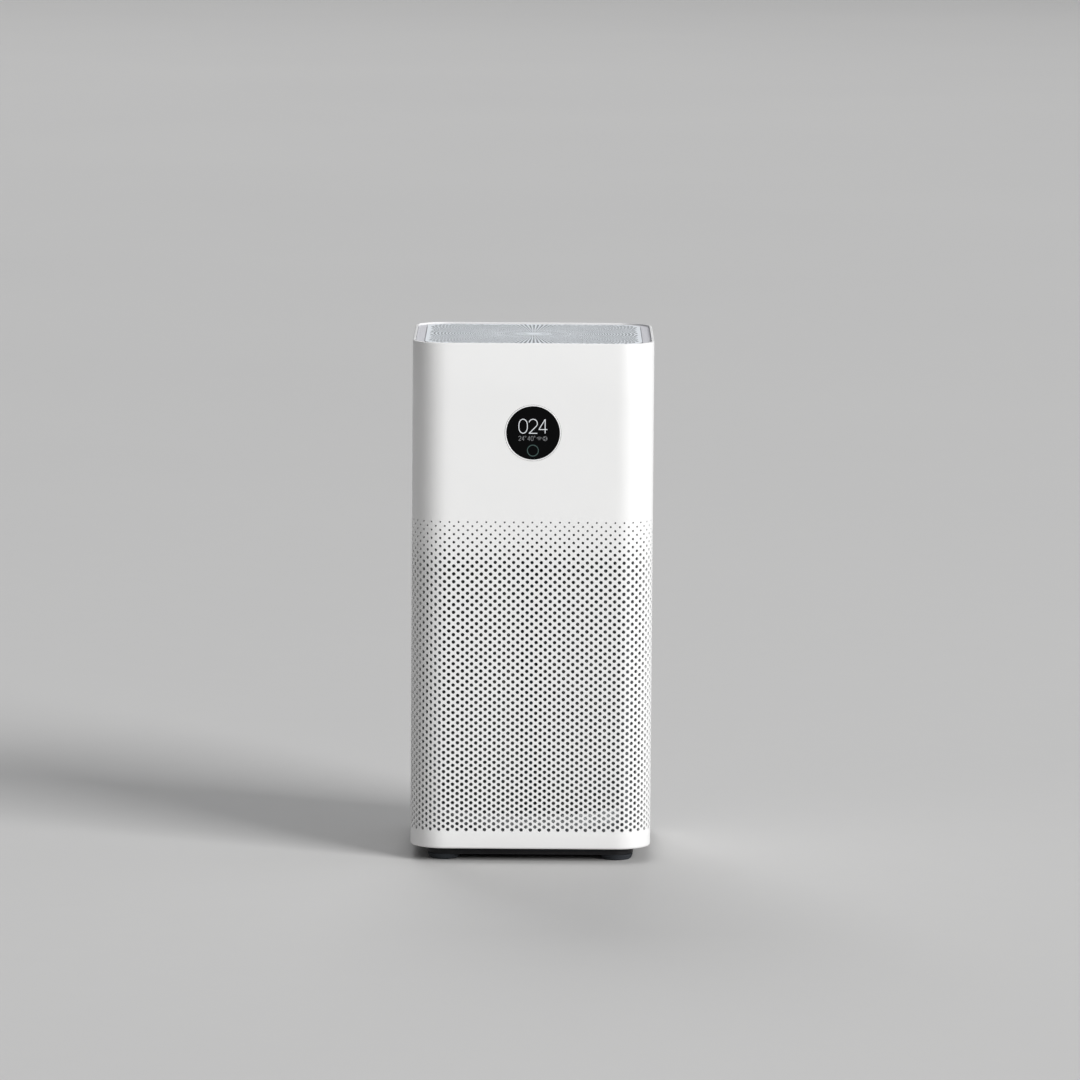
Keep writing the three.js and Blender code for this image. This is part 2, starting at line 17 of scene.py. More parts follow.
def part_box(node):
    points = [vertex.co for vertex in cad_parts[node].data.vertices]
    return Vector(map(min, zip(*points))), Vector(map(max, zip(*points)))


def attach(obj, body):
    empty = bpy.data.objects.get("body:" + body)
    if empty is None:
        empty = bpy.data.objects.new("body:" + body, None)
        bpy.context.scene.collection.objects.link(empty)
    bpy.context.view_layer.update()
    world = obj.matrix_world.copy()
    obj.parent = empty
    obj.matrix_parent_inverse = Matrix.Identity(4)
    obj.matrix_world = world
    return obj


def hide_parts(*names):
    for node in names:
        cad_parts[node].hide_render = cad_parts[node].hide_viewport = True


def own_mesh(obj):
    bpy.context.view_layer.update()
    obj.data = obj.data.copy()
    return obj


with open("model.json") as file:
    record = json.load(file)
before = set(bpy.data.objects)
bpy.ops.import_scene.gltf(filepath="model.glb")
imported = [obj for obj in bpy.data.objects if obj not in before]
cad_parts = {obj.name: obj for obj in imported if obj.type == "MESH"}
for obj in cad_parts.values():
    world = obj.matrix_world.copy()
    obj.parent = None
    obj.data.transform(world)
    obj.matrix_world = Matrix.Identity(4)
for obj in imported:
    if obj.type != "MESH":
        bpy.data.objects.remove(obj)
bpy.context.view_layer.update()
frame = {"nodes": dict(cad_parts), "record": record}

MM = 0.001
SHARP_ANGLE = 35  # degrees; an edge sharper than this isn't shaded smooth
ROUND_SIDES = 96  # of a large round shape
CLOSE = 0.01 * MM  # places closer than this count as one

# ---------------------------------------------------------------- sizes taken from the frame
CASING_LOW, CASING_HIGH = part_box("main_casing")
DOOR_LOW, DOOR_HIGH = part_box("rear_door")
HALF = CASING_HIGH.x
TOP = CASING_HIGH.z
BOTTOM = CASING_LOW.z
CORNER = 35 * MM
GAP = 0.3 * MM  # between pieces that meet
WALL = 2.5 * MM
SKIN = 1.8 * MM  # thickness of the casing and the door among the holes
FLAT = HALF - CORNER
ARC = CORNER * math.pi / 2
QUARTER = 2 * FLAT + ARC
REAR_S = 2 * QUARTER  # the middle of the back, measured round the outside

# ---------------------------------------------------------------- the perforation
HALF_PITCH = 4.57 * MM  # along a row, holes are two of these apart and every other row is shifted by one
ROWS = 89
FIRST_ROW = 341.8 * MM
ROW_DROP = 4.072 * MM  # from the first row to the second; it shrinks evenly on the way down
ROW_SHRINK = 0.00645 * MM
FULL_RADIUS = 1.85 * MM
FIRST_RADIUS = 0.95 * MM
GROWING_ROWS = 11
HOLE_SIDES = 12
ROW_SWAY = 0.65 * MM  # how far the line between two rows of holes swings round each of them


def row_height(n):
    return FIRST_ROW - ROW_DROP * n + ROW_SHRINK * n * n


def row_radius(n):
    return FIRST_RADIUS + (FULL_RADIUS - FIRST_RADIUS) * min(1.0, n / GROWING_ROWS)


def row_edge(n):
    """The height of the line halfway between row n - 1 and row n."""
    return (row_height(n - 1) + row_height(n)) / 2


# ---------------------------------------------------------------- mesh helpers
def link(mesh_object):
    bpy.context.scene.collection.objects.link(mesh_object)
    return mesh_object


def mesh_object(name, points, triangles, quads=None, uvs=None, sharp=40):
    """An object from arrays of points, triangles and quads, with bake coordinates if they are given."""
    triangles = np.asarray(triangles, np.int32).reshape(-1, 3)
    quads = np.asarray(quads if quads is not None else [], np.int32).reshape(-1, 4)
    mesh = bpy.data.meshes.new(name)
    mesh.vertices.add(len(points))
    mesh.vertices.foreach_set("co", np.asarray(points, np.float32).ravel())
    corners = np.concatenate([triangles.ravel(), quads.ravel()])
    mesh.loops.add(len(corners))
    mesh.loops.foreach_set("vertex_index", corners)
    starts = np.concatenate([
        np.arange(len(triangles)) * 3,
        len(triangles) * 3 + np.arange(len(quads)) * 4,
    ]).astype(np.int32)
    mesh.polygons.add(len(starts))
    mesh.polygons.foreach_set("loop_start", starts)
    mesh.update(calc_edges=True)
    if uvs is not None:
        layer = mesh.uv_layers.new(name="OFBake")
        layer.uv.foreach_set("vector", np.asarray(uvs, np.float32).ravel())
    smooth_by_angle(mesh, sharp)
    return link(bpy.data.objects.new(name, mesh))


def smooth_by_angle(mesh, degrees):
    mesh.shade_smooth()
    mesh.set_sharp_from_angle(angle=math.radians(degrees))


@functools.lru_cache(maxsize=None)
def bridged(outer, inner):
    """The net of triangles with the shortest edges between an outer and an inner loop, none turned over."""
    m, n = len(outer), len(inner)
    outer, inner = np.array(outer), np.array(inner)
    first = int(np.argmin(np.hypot(*(inner - outer[0]).T)))
    out, into = np.arange(m + 1) % m, (first + np.arange(n + 1)) % n
    a, b = outer[out][:, None], inner[into][None, :]
    length = np.linalg.norm(a - b, axis=2)

    def area(p, q, r):
        return (q - p)[..., 0] * (r - p)[..., 1] - (q - p)[..., 1] * (r - p)[..., 0]

    along_outer, along_inner = area(a[:-1], a[1:], b), area(a, b[:, 1:], b[:, :-1])
    cost = np.full((m + 1, n + 1), np.inf)
    cost[0, 0] = 0
    came = {}
    for i in range(m + 1):
        for j in range(n + 1):
            if i and along_outer[i - 1, j] > 0 and cost[i - 1, j] + length[i, j] < cost[i, j]:
                cost[i, j] = cost[i - 1, j] + length[i, j]
                came[i, j] = (i - 1, j)
            if j and along_inner[i, j - 1] > 0 and cost[i, j - 1] + length[i, j] < cost[i, j]:
                cost[i, j] = cost[i, j - 1] + length[i, j]
                came[i, j] = (i, j - 1)
    triangles, here = [], (m, n)
    while here != (0, 0):
        before = came[here]
        last = m + into[here[1]] if before[0] == here[0] else out[here[0]]
        triangles.append((out[before[0]], last, m + into[before[1]]))
        here = before
    return np.array(triangles)


def bridge(outer, inner):
    """Triangles between two closed loops of 2-D points that both run anticlockwise, one round the other.
    Numbers below len(outer) are outer points, and the rest are inner ones."""
    middle = inner.mean(axis=0)
    loops = [tuple(map(tuple, np.round((loop - middle) / MM, 4).tolist())) for loop in (outer, inner)]
    return bridged(*loops)


def band(first, second, sides):
    """Quads between two closed loops of points, from the numbers of their first points."""
    turns = [(i, (i + 1) % sides) for i in range(sides)]
    return [(first + i, first + j, second + j, second + i) for i, j in turns]


def mm(profile):
    """A profile in metres from one in millimetres."""
    return [(a * MM, b * MM) for a, b in profile]


# ---------------------------------------------------------------- the casing's surface
ROUNDING_STEPS = 3
UV_MARGIN = 4 * MM  # room left round each part of the bake layout
UV_FOLD = 0.55  # a hole's wall is baked inside the hole, down to this share of its radius


def on_casing(s, z, depth):
    """Points at a depth under the casing's outer face, from arrays of places on it."""
    s, z, depth = np.broadcast_arrays(s, z, depth)
    side = np.floor((s + FLAT) / QUARTER)
    t = s - side * QUARTER
    turn = np.clip((t - FLAT) / CORNER, 0, math.pi / 2)
    x = np.minimum(t, FLAT) + (CORNER - depth) * np.sin(turn)
    y = -FLAT - (CORNER - depth) * np.cos(turn)
    angle = side * math.pi / 2
    cos, sin = np.round(np.cos(angle)), np.round(np.sin(angle))
    return np.stack([x * cos - y * sin, x * sin + y * cos, z], axis=-1)


def rounding(radius):
    """(distance from an edge, depth) along a rounded edge, from the edge inwards."""
    turns = [math.pi / 2 * k / ROUNDING_STEPS for k in range(ROUNDING_STEPS, -1, -1)]
    return [(radius * (1 - math.sin(a)), radius * (1 - math.cos(a))) for a in turns]


def side_by_side(places):
    """Bake coordinates for a flat sheet's front and its back, laid out beside each other, and their scale."""
    low, span = places.min(axis=0), np.ptp(places, axis=0)
    scale = 1 / max(2 * span[0] + 3 * UV_MARGIN, span[1] + 2 * UV_MARGIN)
    front = (places - low + UV_MARGIN) * scale
    return front, front + np.array([(span[0] + UV_MARGIN) * scale, 0]), scale


class Skin:
    """A wall of the casing over a grid of columns (s) and levels (z), with an outer and an inner face."""

    def __init__(self, columns, levels):
        self.columns = np.unique(np.round(columns, 7))
        self.levels = np.unique(np.round(levels, 7))
        self.filled = np.ones((len(self.columns) - 1, len(self.levels) - 1), bool)
        self.plain = self.filled.copy()
        self.depth = np.zeros((len(self.columns), len(self.levels)))
        self.sway = self.depth.copy()
        self.holes = []

    def column(self, s):
        return int(np.argmin(np.abs(self.columns - s)))

    def level(self, z):
        return int(np.argmin(np.abs(self.levels - z)))

    def block(self, s, z):
        """The grid limits of a rectangle given by its (low, high) places."""
        return self.column(s[0]), self.column(s[1]), self.level(z[0]), self.level(z[1])

    def remove(self, s, z):
        i0, i1, j0, j1 = self.block(s, z)
        self.filled[i0:i1, j0:j1] = False
        self.plain[i0:i1, j0:j1] = False

    def hole(self, s, z, centre, radius, sides):
        """A round hole in the middle of a rectangle of the grid."""
        i0, i1, j0, j1 = self.block(s, z)
        self.plain[i0:i1, j0:j1] = False
        self.holes.append((i0, i1, j0, j1, *centre, radius, sides))

    def round_edge(self, side, radius):
        """Rounds the outer face over to one edge of the grid: left, right, top or bottom."""
        places = self.columns if side in ("left", "right") else self.levels
        distance = places[-1] - places if side in ("right", "top") else places - places[0]
        reach = np.clip(1 - distance / radius, 0, 1)
        depth = radius * (1 - np.sqrt(np.maximum(0, 1 - reach**2)))
        depth = depth[:, None] if side in ("left", "right") else depth[None, :]
        self.depth = np.maximum(self.depth, depth)

    def build(self, name):
        columns, levels = self.columns, self.levels
        wide, high = len(columns), len(levels)
        grid = np.arange(wide * high).reshape(wide, high)
        places = np.stack(np.meshgrid(columns, levels, indexing="ij"), axis=-1).reshape(-1, 2)
        places[:, 1] += self.sway.ravel()
        rings, triangles, wall_quads = [], [], []
        count = wide * high
        for i0, i1, j0, j1, cs, cz, radius, sides in self.holes:
            border = [(i, j0) for i in range(i0, i1)] + [(i1, j) for j in range(j0, j1)]
            border += [(i, j1) for i in range(i1, i0, -1)] + [(i0, j) for j in range(j1, j0, -1)]
            border_ids = np.array([grid[i, j] for i, j in border])
            turn = 2 * math.pi * (np.arange(sides) + 0.5) / sides
            ring = np.stack([cs + radius * np.cos(turn), cz + radius * np.sin(turn)], axis=-1)
            ids = np.concatenate([border_ids, count + np.arange(sides)])
            triangles.append(ids[bridge(places[border_ids], ring)])
            around = count + np.arange(sides)
            wall_quads.append(np.stack([around, np.roll(around, -1)], axis=-1))
            rings.append(ring)
            count += sides
        places = np.concatenate([places, *rings])
        depth = np.concatenate([self.depth.ravel(), np.zeros(count - wide * high)])
        cells = np.argwhere(self.plain)
        i, j = cells[:, 0], cells[:, 1]
        quads = np.stack([grid[i, j], grid[i + 1, j], grid[i + 1, j + 1], grid[i, j + 1]], axis=-1)
        edges = self._edges(grid)
        rims = np.concatenate(wall_quads) if wall_quads else np.empty((0, 2), int)
        middles = np.array([hole[4:6] for hole in self.holes]).reshape(-1, 2)
        centres = np.repeat(middles, [hole[7] for hole in self.holes], axis=0)
        return self._mesh(name, places, depth, triangles, quads, edges, rims, centres)

    def _edges(self, grid):
        """Edges between filled cells and none, with the filled cell on their left, and the way out of it."""
        padded = np.pad(self.filled, 1)
        found = []
        for di, dj, first, last in ((1, 0, (1, 0), (1, 1)), (-1, 0, (0, 1), (0, 0)),
                                    (0, 1, (1, 1), (0, 1)), (0, -1, (0, 0), (1, 0))):
            beside = padded[1 + di:padded.shape[0] - 1 + di, 1 + dj:padded.shape[1] - 1 + dj]
            for i, j in np.argwhere(self.filled & ~beside):
                found.append((grid[i + first[0], j + first[1]], grid[i + last[0], j + last[1]], di, dj))
        return np.array(found).reshape(-1, 4)

    def _mesh(self, name, places, depth, triangles, quads, edges, rims, centres):
        count = len(places)
        outer = on_casing(places[:, 0], places[:, 1], depth)
        among_holes = (places[:, 1] > row_edge(ROWS)) & (places[:, 1] < row_edge(0))
        inner = on_casing(places[:, 0], places[:, 1], np.where(among_holes, SKIN, WALL))
        triangles = np.concatenate(triangles) if triangles else np.empty((0, 3), int)
        front_uv, back_uv, scale = side_by_side(places)
        edge_out = edges[:, 2:4] * 1.5 * MM * scale
        a, b = edges[:, 0], edges[:, 1]
        border = np.stack([b, a, a + count, b + count], axis=-1)
        near, far = front_uv[a], front_uv[b]
        border_uv = np.stack([far, near, near + edge_out, far + edge_out], axis=1)
        c, d = rims[:, 0], rims[:, 1]
        rim = np.stack([c, d, d + count, c + count], axis=-1)
        centre_uv = (centres - places.min(axis=0) + UV_MARGIN) * scale
        inside = lambda ids: centre_uv + (front_uv[ids] - centre_uv) * UV_FOLD
        rim_uv = np.stack([front_uv[c], front_uv[d], inside(d), inside(c)], axis=1)
        all_triangles = np.concatenate([triangles, triangles[:, ::-1] + count])
        all_quads = np.concatenate([quads, quads[:, ::-1] + count, border, rim])
        uvs = np.concatenate([
            front_uv[triangles].reshape(-1, 2), back_uv[triangles[:, ::-1]].reshape(-1, 2),
            front_uv[quads].reshape(-1, 2), back_uv[quads[:, ::-1]].reshape(-1, 2),
            border_uv.reshape(-1, 2), rim_uv.reshape(-1, 2),
        ])
        points = np.concatenate([outer, inner])
        used = np.unique(np.concatenate([all_triangles.ravel(), all_quads.ravel()]))
        renumber = np.full(len(points), -1)
        renumber[used] = np.arange(len(used))
        return mesh_object(name, points[used], renumber[all_triangles], renumber[all_quads], uvs)


# ---------------------------------------------------------------- general shapes
def plate_with_holes(name, outline, loops, z_low, z_high):
    """A flat plate: an outline and closed loops of 2-D points cut through it, each running anticlockwise."""
    points = [Vector(p) for p in outline]
    bounds_of, edges = [], []
    for loop in [outline, *loops]:
        first = 0 if not bounds_of else bounds_of[-1][1]
        bounds_of.append((first, first + len(loop)))
        edges += [(first + k, first + (k + 1) % len(loop)) for k in range(len(loop))]
    for loop in loops:
        points += [Vector(p) for p in loop]
    made, _, faces, *_ = geometry.delaunay_2d_cdt(points, edges, [], 0, 1e-9)
    owner = np.zeros(len(made), int)
    for k, (first, last) in enumerate(bounds_of):
        owner[first:last] = k
    flat = np.array([tuple(p) for p in made])
    faces = np.array([f for f in faces if len(f) == 3])
    same = (owner[faces[:, 0]] == owner[faces[:, 1]]) & (owner[faces[:, 1]] == owner[faces[:, 2]])
    outside = same & (owner[faces[:, 0]] == 0) & ~inside_outline(flat[faces].mean(axis=1), np.array(outline))
    keep = faces[~(same & (owner[faces[:, 0]] > 0)) & ~outside]
    ab, ac = flat[keep[:, 1]] - flat[keep[:, 0]], flat[keep[:, 2]] - flat[keep[:, 0]]
    clockwise = ab[:, 0] * ac[:, 1] - ab[:, 1] * ac[:, 0] < 0
    keep[clockwise] = keep[clockwise][:, ::-1]
    count = len(flat)
    top = np.column_stack([flat, np.full(count, z_high)])
    low = np.column_stack([flat, np.full(count, z_low)])
    walls = []
    for k, (first, last) in enumerate(bounds_of):
        ids = np.arange(first, last)
        a, b = ids, np.roll(ids, -1)
        if k:
            a, b = b, a
        walls.append(np.stack([a + count, b + count, b, a], axis=-1))
    walls = np.concatenate(walls)
    triangles = np.concatenate([keep, keep[:, ::-1] + count])
    uvs = plate_uvs(flat, keep, walls, count, bounds_of)
    return mesh_object(name, np.concatenate([top, low]), triangles, walls, uvs)


def inside_outline(points, outline):
    """Which 2-D points lie inside a polygon."""
    x, y = points[:, 0][:, None], points[:, 1][:, None]
    ax, ay = outline[:, 0], outline[:, 1]
    bx, by = np.roll(ax, -1), np.roll(ay, -1)
    crosses = (ay > y) != (by > y)
    with np.errstate(divide="ignore", invalid="ignore"):
        at = ax + (y - ay) * (bx - ax) / (by - ay)
    return (crosses & (x < at)).sum(axis=1) % 2 == 1


def plate_uvs(flat, faces, walls, count, bounds_of):
    """Bake coordinates for a plate: its top, its underside beside it, and each wall folded into its hole."""
    front, back, _ = side_by_side(flat)
    folded = front.copy()
    for k, (first, last) in enumerate(bounds_of):
        middle = front[first:last].mean(axis=0)
        folded[first:last] = middle + (front[first:last] - middle) * (UV_FOLD if k else 1.008)
    wall_uv = np.where((walls >= count)[..., None], folded[walls % count], front[walls % count])
    return np.concatenate([
        front[faces].reshape(-1, 2), back[faces[:, ::-1]].reshape(-1, 2), wall_uv.reshape(-1, 2),
    ])


def circle(radius, sides, centre=(0, 0), start=0.0):
    turns = [start + 2 * math.pi * k / sides for k in range(sides)]
    return [(centre[0] + radius * math.cos(a), centre[1] + radius * math.sin(a)) for a in turns]


def rounded_square(half, radius, steps=10):
    """The corners of a square outline with round corners, anticlockwise."""
    flat = half - radius
    found = []
    for quarter, (sx, sy) in enumerate(((1, 1), (-1, 1), (-1, -1), (1, -1))):
        for k in range(steps + 1):
            a = math.pi / 2 * (quarter + k / steps)
            found.append((sx * flat + radius * math.cos(a), sy * flat + radius * math.sin(a)))
    return found


def turned(name, profile, sides=ROUND_SIDES, centre=(0, 0), sharp=SHARP_ANGLE):
    """A body of revolution about an upright axis, from a closed (radius, z) profile. Points on the axis
    become one vertex each."""
    points, rings = [], []
    for radius, z in profile:
        if radius < 1e-9:
            rings.append([len(points)] * sides)
            points.append((centre[0], centre[1], z))
        else:
            rings.append(list(range(len(points), len(points) + sides)))
            points += [(x, y, z) for x, y in circle(radius, sides, centre)]
    quads, triangles = [], []
    closed = profile[0][0] > 1e-9
    pairs = list(zip(rings, rings[1:])) + ([(rings[-1], rings[0])] if closed else [])
    for a, b in pairs:
        for k in range(sides):
            n = (k + 1) % sides
            face = list(dict.fromkeys([a[k], a[n], b[n], b[k]]))
            if len(face) == 4:
                quads.append(face)
            elif len(face) == 3:
                triangles.append(face)
    return face_outwards(mesh_object(name, points, triangles, quads, sharp=sharp))


def facing(thing, side, x, z):
    """Turns a body made about Z so that its top faces the front (side -1) or the back (side 1)."""
    mesh = thing.data
    for v in mesh.vertices:
        across, up, height = v.co
        v.co = (x - side * across, side * height, z + up)
    mesh.update()
    return face_outwards(thing)


def face_outwards(thing):
    """Turns the faces of each closed body in a mesh so that they point out of it."""
    mesh = bmesh.new()
    mesh.from_mesh(thing.data)
    bmesh.ops.recalc_face_normals(mesh, faces=mesh.faces)
    mesh.to_mesh(thing.data)
    mesh.free()
    return thing


def swept_square(name, half, corner, profile):
    """A closed (inset, z) profile carried round a square outline with round corners."""
    loops = [rounded_square(half - inset, corner - inset) for inset, _ in profile]
    sides = len(loops[0])
    points = [(x, y, z) for loop, (_, z) in zip(loops, profile) for x, y in loop]
    quads = []
    for k in range(len(profile)):
        quads += band(k * sides, (k + 1) % len(profile) * sides, sides)
    return face_outwards(mesh_object(name, points, [], quads, sharp=SHARP_ANGLE))


def rounded_profile(corners, radius, steps=4):
    """A closed 2-D outline with each of its corners rounded off."""
    found, n = [], len(corners)
    for k, corner in enumerate(corners):
        here = Vector(corner)
        before, after = Vector(corners[k - 1]) - here, Vector(corners[(k + 1) % n]) - here
        cut = min(radius, before.length * 0.45, after.length * 0.45)
        start, end = here + before.normalized() * cut, here + after.normalized() * cut
        for i in range(steps + 1):
            t = i / steps
            found.append(tuple((1 - t) ** 2 * start + 2 * t * (1 - t) * here + t * t * end))
    return found


def tube(name, path, radius, sides):
    """A round rod along 3-D points that turn little from one to the next."""
    path = [Vector(p) for p in path]
    points, quads = [], []
    side = Vector((1, 0, 0))
    for k, p in enumerate(path):
        ahead = (path[min(k + 1, len(path) - 1)] - path[max(k - 1, 0)]).normalized()
        side = (side - ahead * side.dot(ahead)).normalized()
        up = ahead.cross(side)
        for i in range(sides):
            a = 2 * math.pi * i / sides
            points.append(tuple(p + (side * math.cos(a) + up * math.sin(a)) * radius))
    for k in range(len(path) - 1):
        quads += band(k * sides, (k + 1) * sides, sides)
    last = (len(path) - 1) * sides
    triangles = [(0, i + 1, i) for i in range(1, sides - 1)]
    triangles += [(last, last + i, last + i + 1) for i in range(1, sides - 1)]
    return face_outwards(mesh_object(name, points, triangles, quads))


def prism(name, loops, z_low, z_high):
    """Several upright prisms in one object, from anticlockwise outlines fanned from their first points."""
    points, triangles, quads = [], [], []
    for loop in loops:
        n, first = len(loop), len(points)
        points += [(x, y, z_high) for x, y in loop] + [(x, y, z_low) for x, y in loop]
        triangles += [(first, first + k, first + k + 1) for k in range(1, n - 1)]
        triangles += [(first + n, first + n + k + 1, first + n + k) for k in range(1, n - 1)]
        quads += band(first + n, first, n)
    return mesh_object(name, points, triangles, quads, sharp=SHARP_ANGLE)


def block(name, low, high):
    """A box with rounded edges, from its limits in millimetres."""
    (x0, y0, z0), (x1, y1, z1) = low, high
    made = prism(name, [mm([(x0, y0), (x1, y0), (x1, y1), (x0, y1)])], z0 * MM, z1 * MM)
    soften(made, 0.4 * MM)
    return made


def soften(thing, width):
    """Rounds an object's sharp edges with a modifier, keeping its flat faces flat."""
    edge = thing.modifiers.new("edges", "BEVEL")
    edge.width = width
    edge.segments = 2
    edge.limit_method = "ANGLE"
    edge.angle_limit = math.radians(SHARP_ANGLE)
    edge.harden_normals = True
    edge.use_clamp_overlap = True


def stroke(points, width, closed=False):
    """The outline of a line of some width along 2-D points."""
    path = [np.array(p, float) for p in points]
    count = len(path)
    left, right = [], []
    for k, here in enumerate(path):
        before = path[k - 1] if (k > 0 or closed) else here
        after = path[(k + 1) % count] if (k < count - 1 or closed) else here
        ahead = (after - before) / np.linalg.norm(after - before)
        aside = np.array([-ahead[1], ahead[0]]) * width / 2
        left.append(here + aside)
        right.append(here - aside)
    return left, right


def ribbon_mesh(name, lines, depth, thickness):
    """Thin raised lines on the front: each line is (points as (x, z), width, closed)."""
    points, quads = [], []
    for path, width, closed in lines:
        first, n = len(points), len(path)
        for pair in zip(*stroke(path, width, closed)):
            points += [(x, y, z) for y in (depth, depth - thickness) for x, z in pair]
        last = n if closed else n - 1
        for k in range(last):
            a, b = first + 4 * k, first + 4 * ((k + 1) % n)
            quads += [(a + 3, b + 3, b + 2, a + 2), (a, a + 2, b + 2, b), (a + 1, b + 1, b + 3, a + 3),
                      (a, b, b + 1, a + 1)]
        if not closed:
            a, b = first, first + 4 * (n - 1)
            quads += [(a, a + 1, a + 3, a + 2), (b, b + 2, b + 3, b + 1)]
    return mesh_object(name, points, [], quads)


# ---------------------------------------------------------------- materials
class Surface:
    """A material built from nodes that read the object's own coordinates, in metres."""

    def __init__(self, name, metallic=0.0, specular=0.5, coat=0.0, sheen=0.0):
        self.material = bpy.data.materials.new(name)
        self.material.use_nodes = True
        self.nodes = self.material.node_tree.nodes
        self.links = self.material.node_tree.links
        self.shader = self.nodes["Principled BSDF"]
        self.shader.inputs["Metallic"].default_value = metallic
        self.shader.inputs["Specular IOR Level"].default_value = specular
        self.shader.inputs["Coat Weight"].default_value = coat
        self.shader.inputs["Coat Roughness"].default_value = 0.08
        self.shader.inputs["Sheen Weight"].default_value = sheen
        self.place = self.add("ShaderNodeTexCoord").outputs["Object"]

    def add(self, kind, inputs=(), **settings):
        node = self.nodes.new(kind)
        for key, value in settings.items():
            setattr(node, key, value)
        for key, value in dict(inputs).items():
            self.feed(node.inputs[key], value)
        return node

    def feed(self, socket, value):
        if isinstance(value, bpy.types.NodeSocket):
            self.links.new(value, socket)
        else:
            socket.default_value = value

    def stretched(self, scale):
        """The coordinates multiplied along each axis."""
        return self.add("ShaderNodeMapping", {"Vector": self.place, "Scale": scale}).outputs["Vector"]

    def noise(self, size, detail=3.0, rough=0.5, place=None):
        """Cloudy noise from 0 to 1, with lumps of about that size in metres."""
        inputs = {"Vector": place or self.place, "Scale": 1 / size, "Detail": detail, "Roughness": rough}
        return self.add("ShaderNodeTexNoise", inputs).outputs["Fac"]

    def cells(self, size):
        """How far each place is from the middle of its cell, in cells of about that size in metres."""
        inputs = {"Vector": self.place, "Scale": 1 / size}
        return self.add("ShaderNodeTexVoronoi", inputs).outputs["Distance"]

    def waves(self, size, direction, distortion):
        """Even ridges, one each size, in metres."""
        inputs = {"Vector": self.place, "Scale": math.pi / 10 / size, "Distortion": distortion}
        return self.add("ShaderNodeTexWave", inputs, bands_direction=direction).outputs["Fac"]

    def spread(self, value, low, high, start=0.0, end=1.0):
        """A value carried from one range to another."""
        inputs = {"Value": value, "From Min": start, "From Max": end, "To Min": low, "To Max": high}
        return self.add("ShaderNodeMapRange", inputs).outputs["Result"]

    def product(self, a, b):
        node = self.add("ShaderNodeMath", operation="MULTIPLY")
        self.feed(node.inputs[0], a)
        self.feed(node.inputs[1], b)
        return node.outputs[0]

    def mix(self, share, a, b):
        node = self.add("ShaderNodeMix", data_type="RGBA")
        self.feed(node.inputs["Factor"], share)
        for socket, value in ((node.inputs[6], a), (node.inputs[7], b)):
            self.feed(socket, value if isinstance(value, bpy.types.NodeSocket) else (*value, 1))
        return node.outputs[2]

    def colour(self, value):
        self.feed(self.shader.inputs["Base Color"], value)

    def roughness(self, value):
        self.feed(self.shader.inputs["Roughness"], value)

    def bump(self, height, distance, strength=1.0):
        inputs = {"Height": height, "Distance": distance, "Strength": strength}
        before = self.shader.inputs["Normal"]
        if before.is_linked:
            inputs["Normal"] = before.links[0].from_socket
        made = self.add("ShaderNodeBump", inputs)
        self.feed(before, made.outputs["Normal"])


def shaded(colour, by):
    """A colour made lighter or darker by a share."""
    return tuple(max(0.0, c * (1 + by)) for c in colour)


def moulded(name, colour, rough=(0.36, 0.48), tone=0.02, grain=0.35 * MM, depth=0.004 * MM, **settings):
    """Moulded plastic: fine spark-eroded grain, faint flow marks in its tone and uneven gloss."""
    s = Surface(name, **settings)
    clouds = s.noise(45 * MM, 2.0)
    s.colour(s.mix(clouds, shaded(colour, -tone), shaded(colour, tone)))
    s.roughness(s.spread(s.noise(9 * MM, 4.0, 0.6), *rough, start=0.3, end=0.7))
    s.bump(s.noise(grain, 2.0, 0.7), depth)
    return s


def top_colour_over_painted_shade(name, paint, inside, top):
    """Moulded plastic with its own colour on the upper face at a height, and painted shade, a near-black
    colour, on every face below it: down the walls of its holes, on its edge and underneath.
    """
    s = moulded(name, paint, (0.52, 0.66), 0.03, specular=0.3)
    height = s.add("ShaderNodeSeparateXYZ", {"Vector": s.place}).outputs["Z"]
    # painted shade: a hair below the top face the colour turns to the dark one, which stands in for the shade
    # down in the holes
    share = s.spread(height, 0.0, 1.0, start=top - 0.05 * MM, end=top - 0.01 * MM)
    s.colour(s.mix(share, inside, s.shader.inputs["Base Color"].links[0].from_socket))
    return s


def rubber(name, colour, rough=(0.7, 0.9)):
    """Rubber with a matt moulded skin and a little pale dust."""
    s = moulded(name, colour, rough, 0.12, 0.5 * MM, 0.012 * MM, specular=0.35)
    dust = s.spread(s.noise(3 * MM, 6.0, 0.75), 0.0, 0.35, start=0.55, end=0.8)
    s.colour(s.mix(dust, colour, shaded(colour, 1.6)))
    return s


def metal(name, colour, rough=(0.22, 0.36), along=(1.0, 1.0, 0.03)):
    """Drawn or turned metal: fine lines along the axis whose scale is small."""
    s = Surface(name, metallic=1.0)
    lines = s.noise(0.35 * MM, 4.0, 0.65, s.stretched(along))
    s.colour(s.mix(lines, shaded(colour, -0.08), shaded(colour, 0.06)))
    s.roughness(s.spread(lines, *rough, start=0.3, end=0.7))
    s.bump(lines, 0.006 * MM, 0.5)
    return s


def circuit_board(name, colour):
    """Solder resist over copper tracks, with pale pads."""
    s = Surface(name, coat=0.3)
    tracks = s.spread(s.waves(2.4 * MM, "DIAGONAL", 3.5), 0.0, 1.0, start=0.62, end=0.72)
    pads = s.spread(s.cells(3.2 * MM), 1.0, 0.0, start=0.16, end=0.2)
    resist = s.mix(tracks, colour, shaded(colour, 0.9))
    s.colour(s.mix(pads, resist, (0.62, 0.60, 0.54)))
    s.roughness(s.spread(pads, 0.32, 0.5))
    s.bump(tracks, 0.02 * MM)
    return s


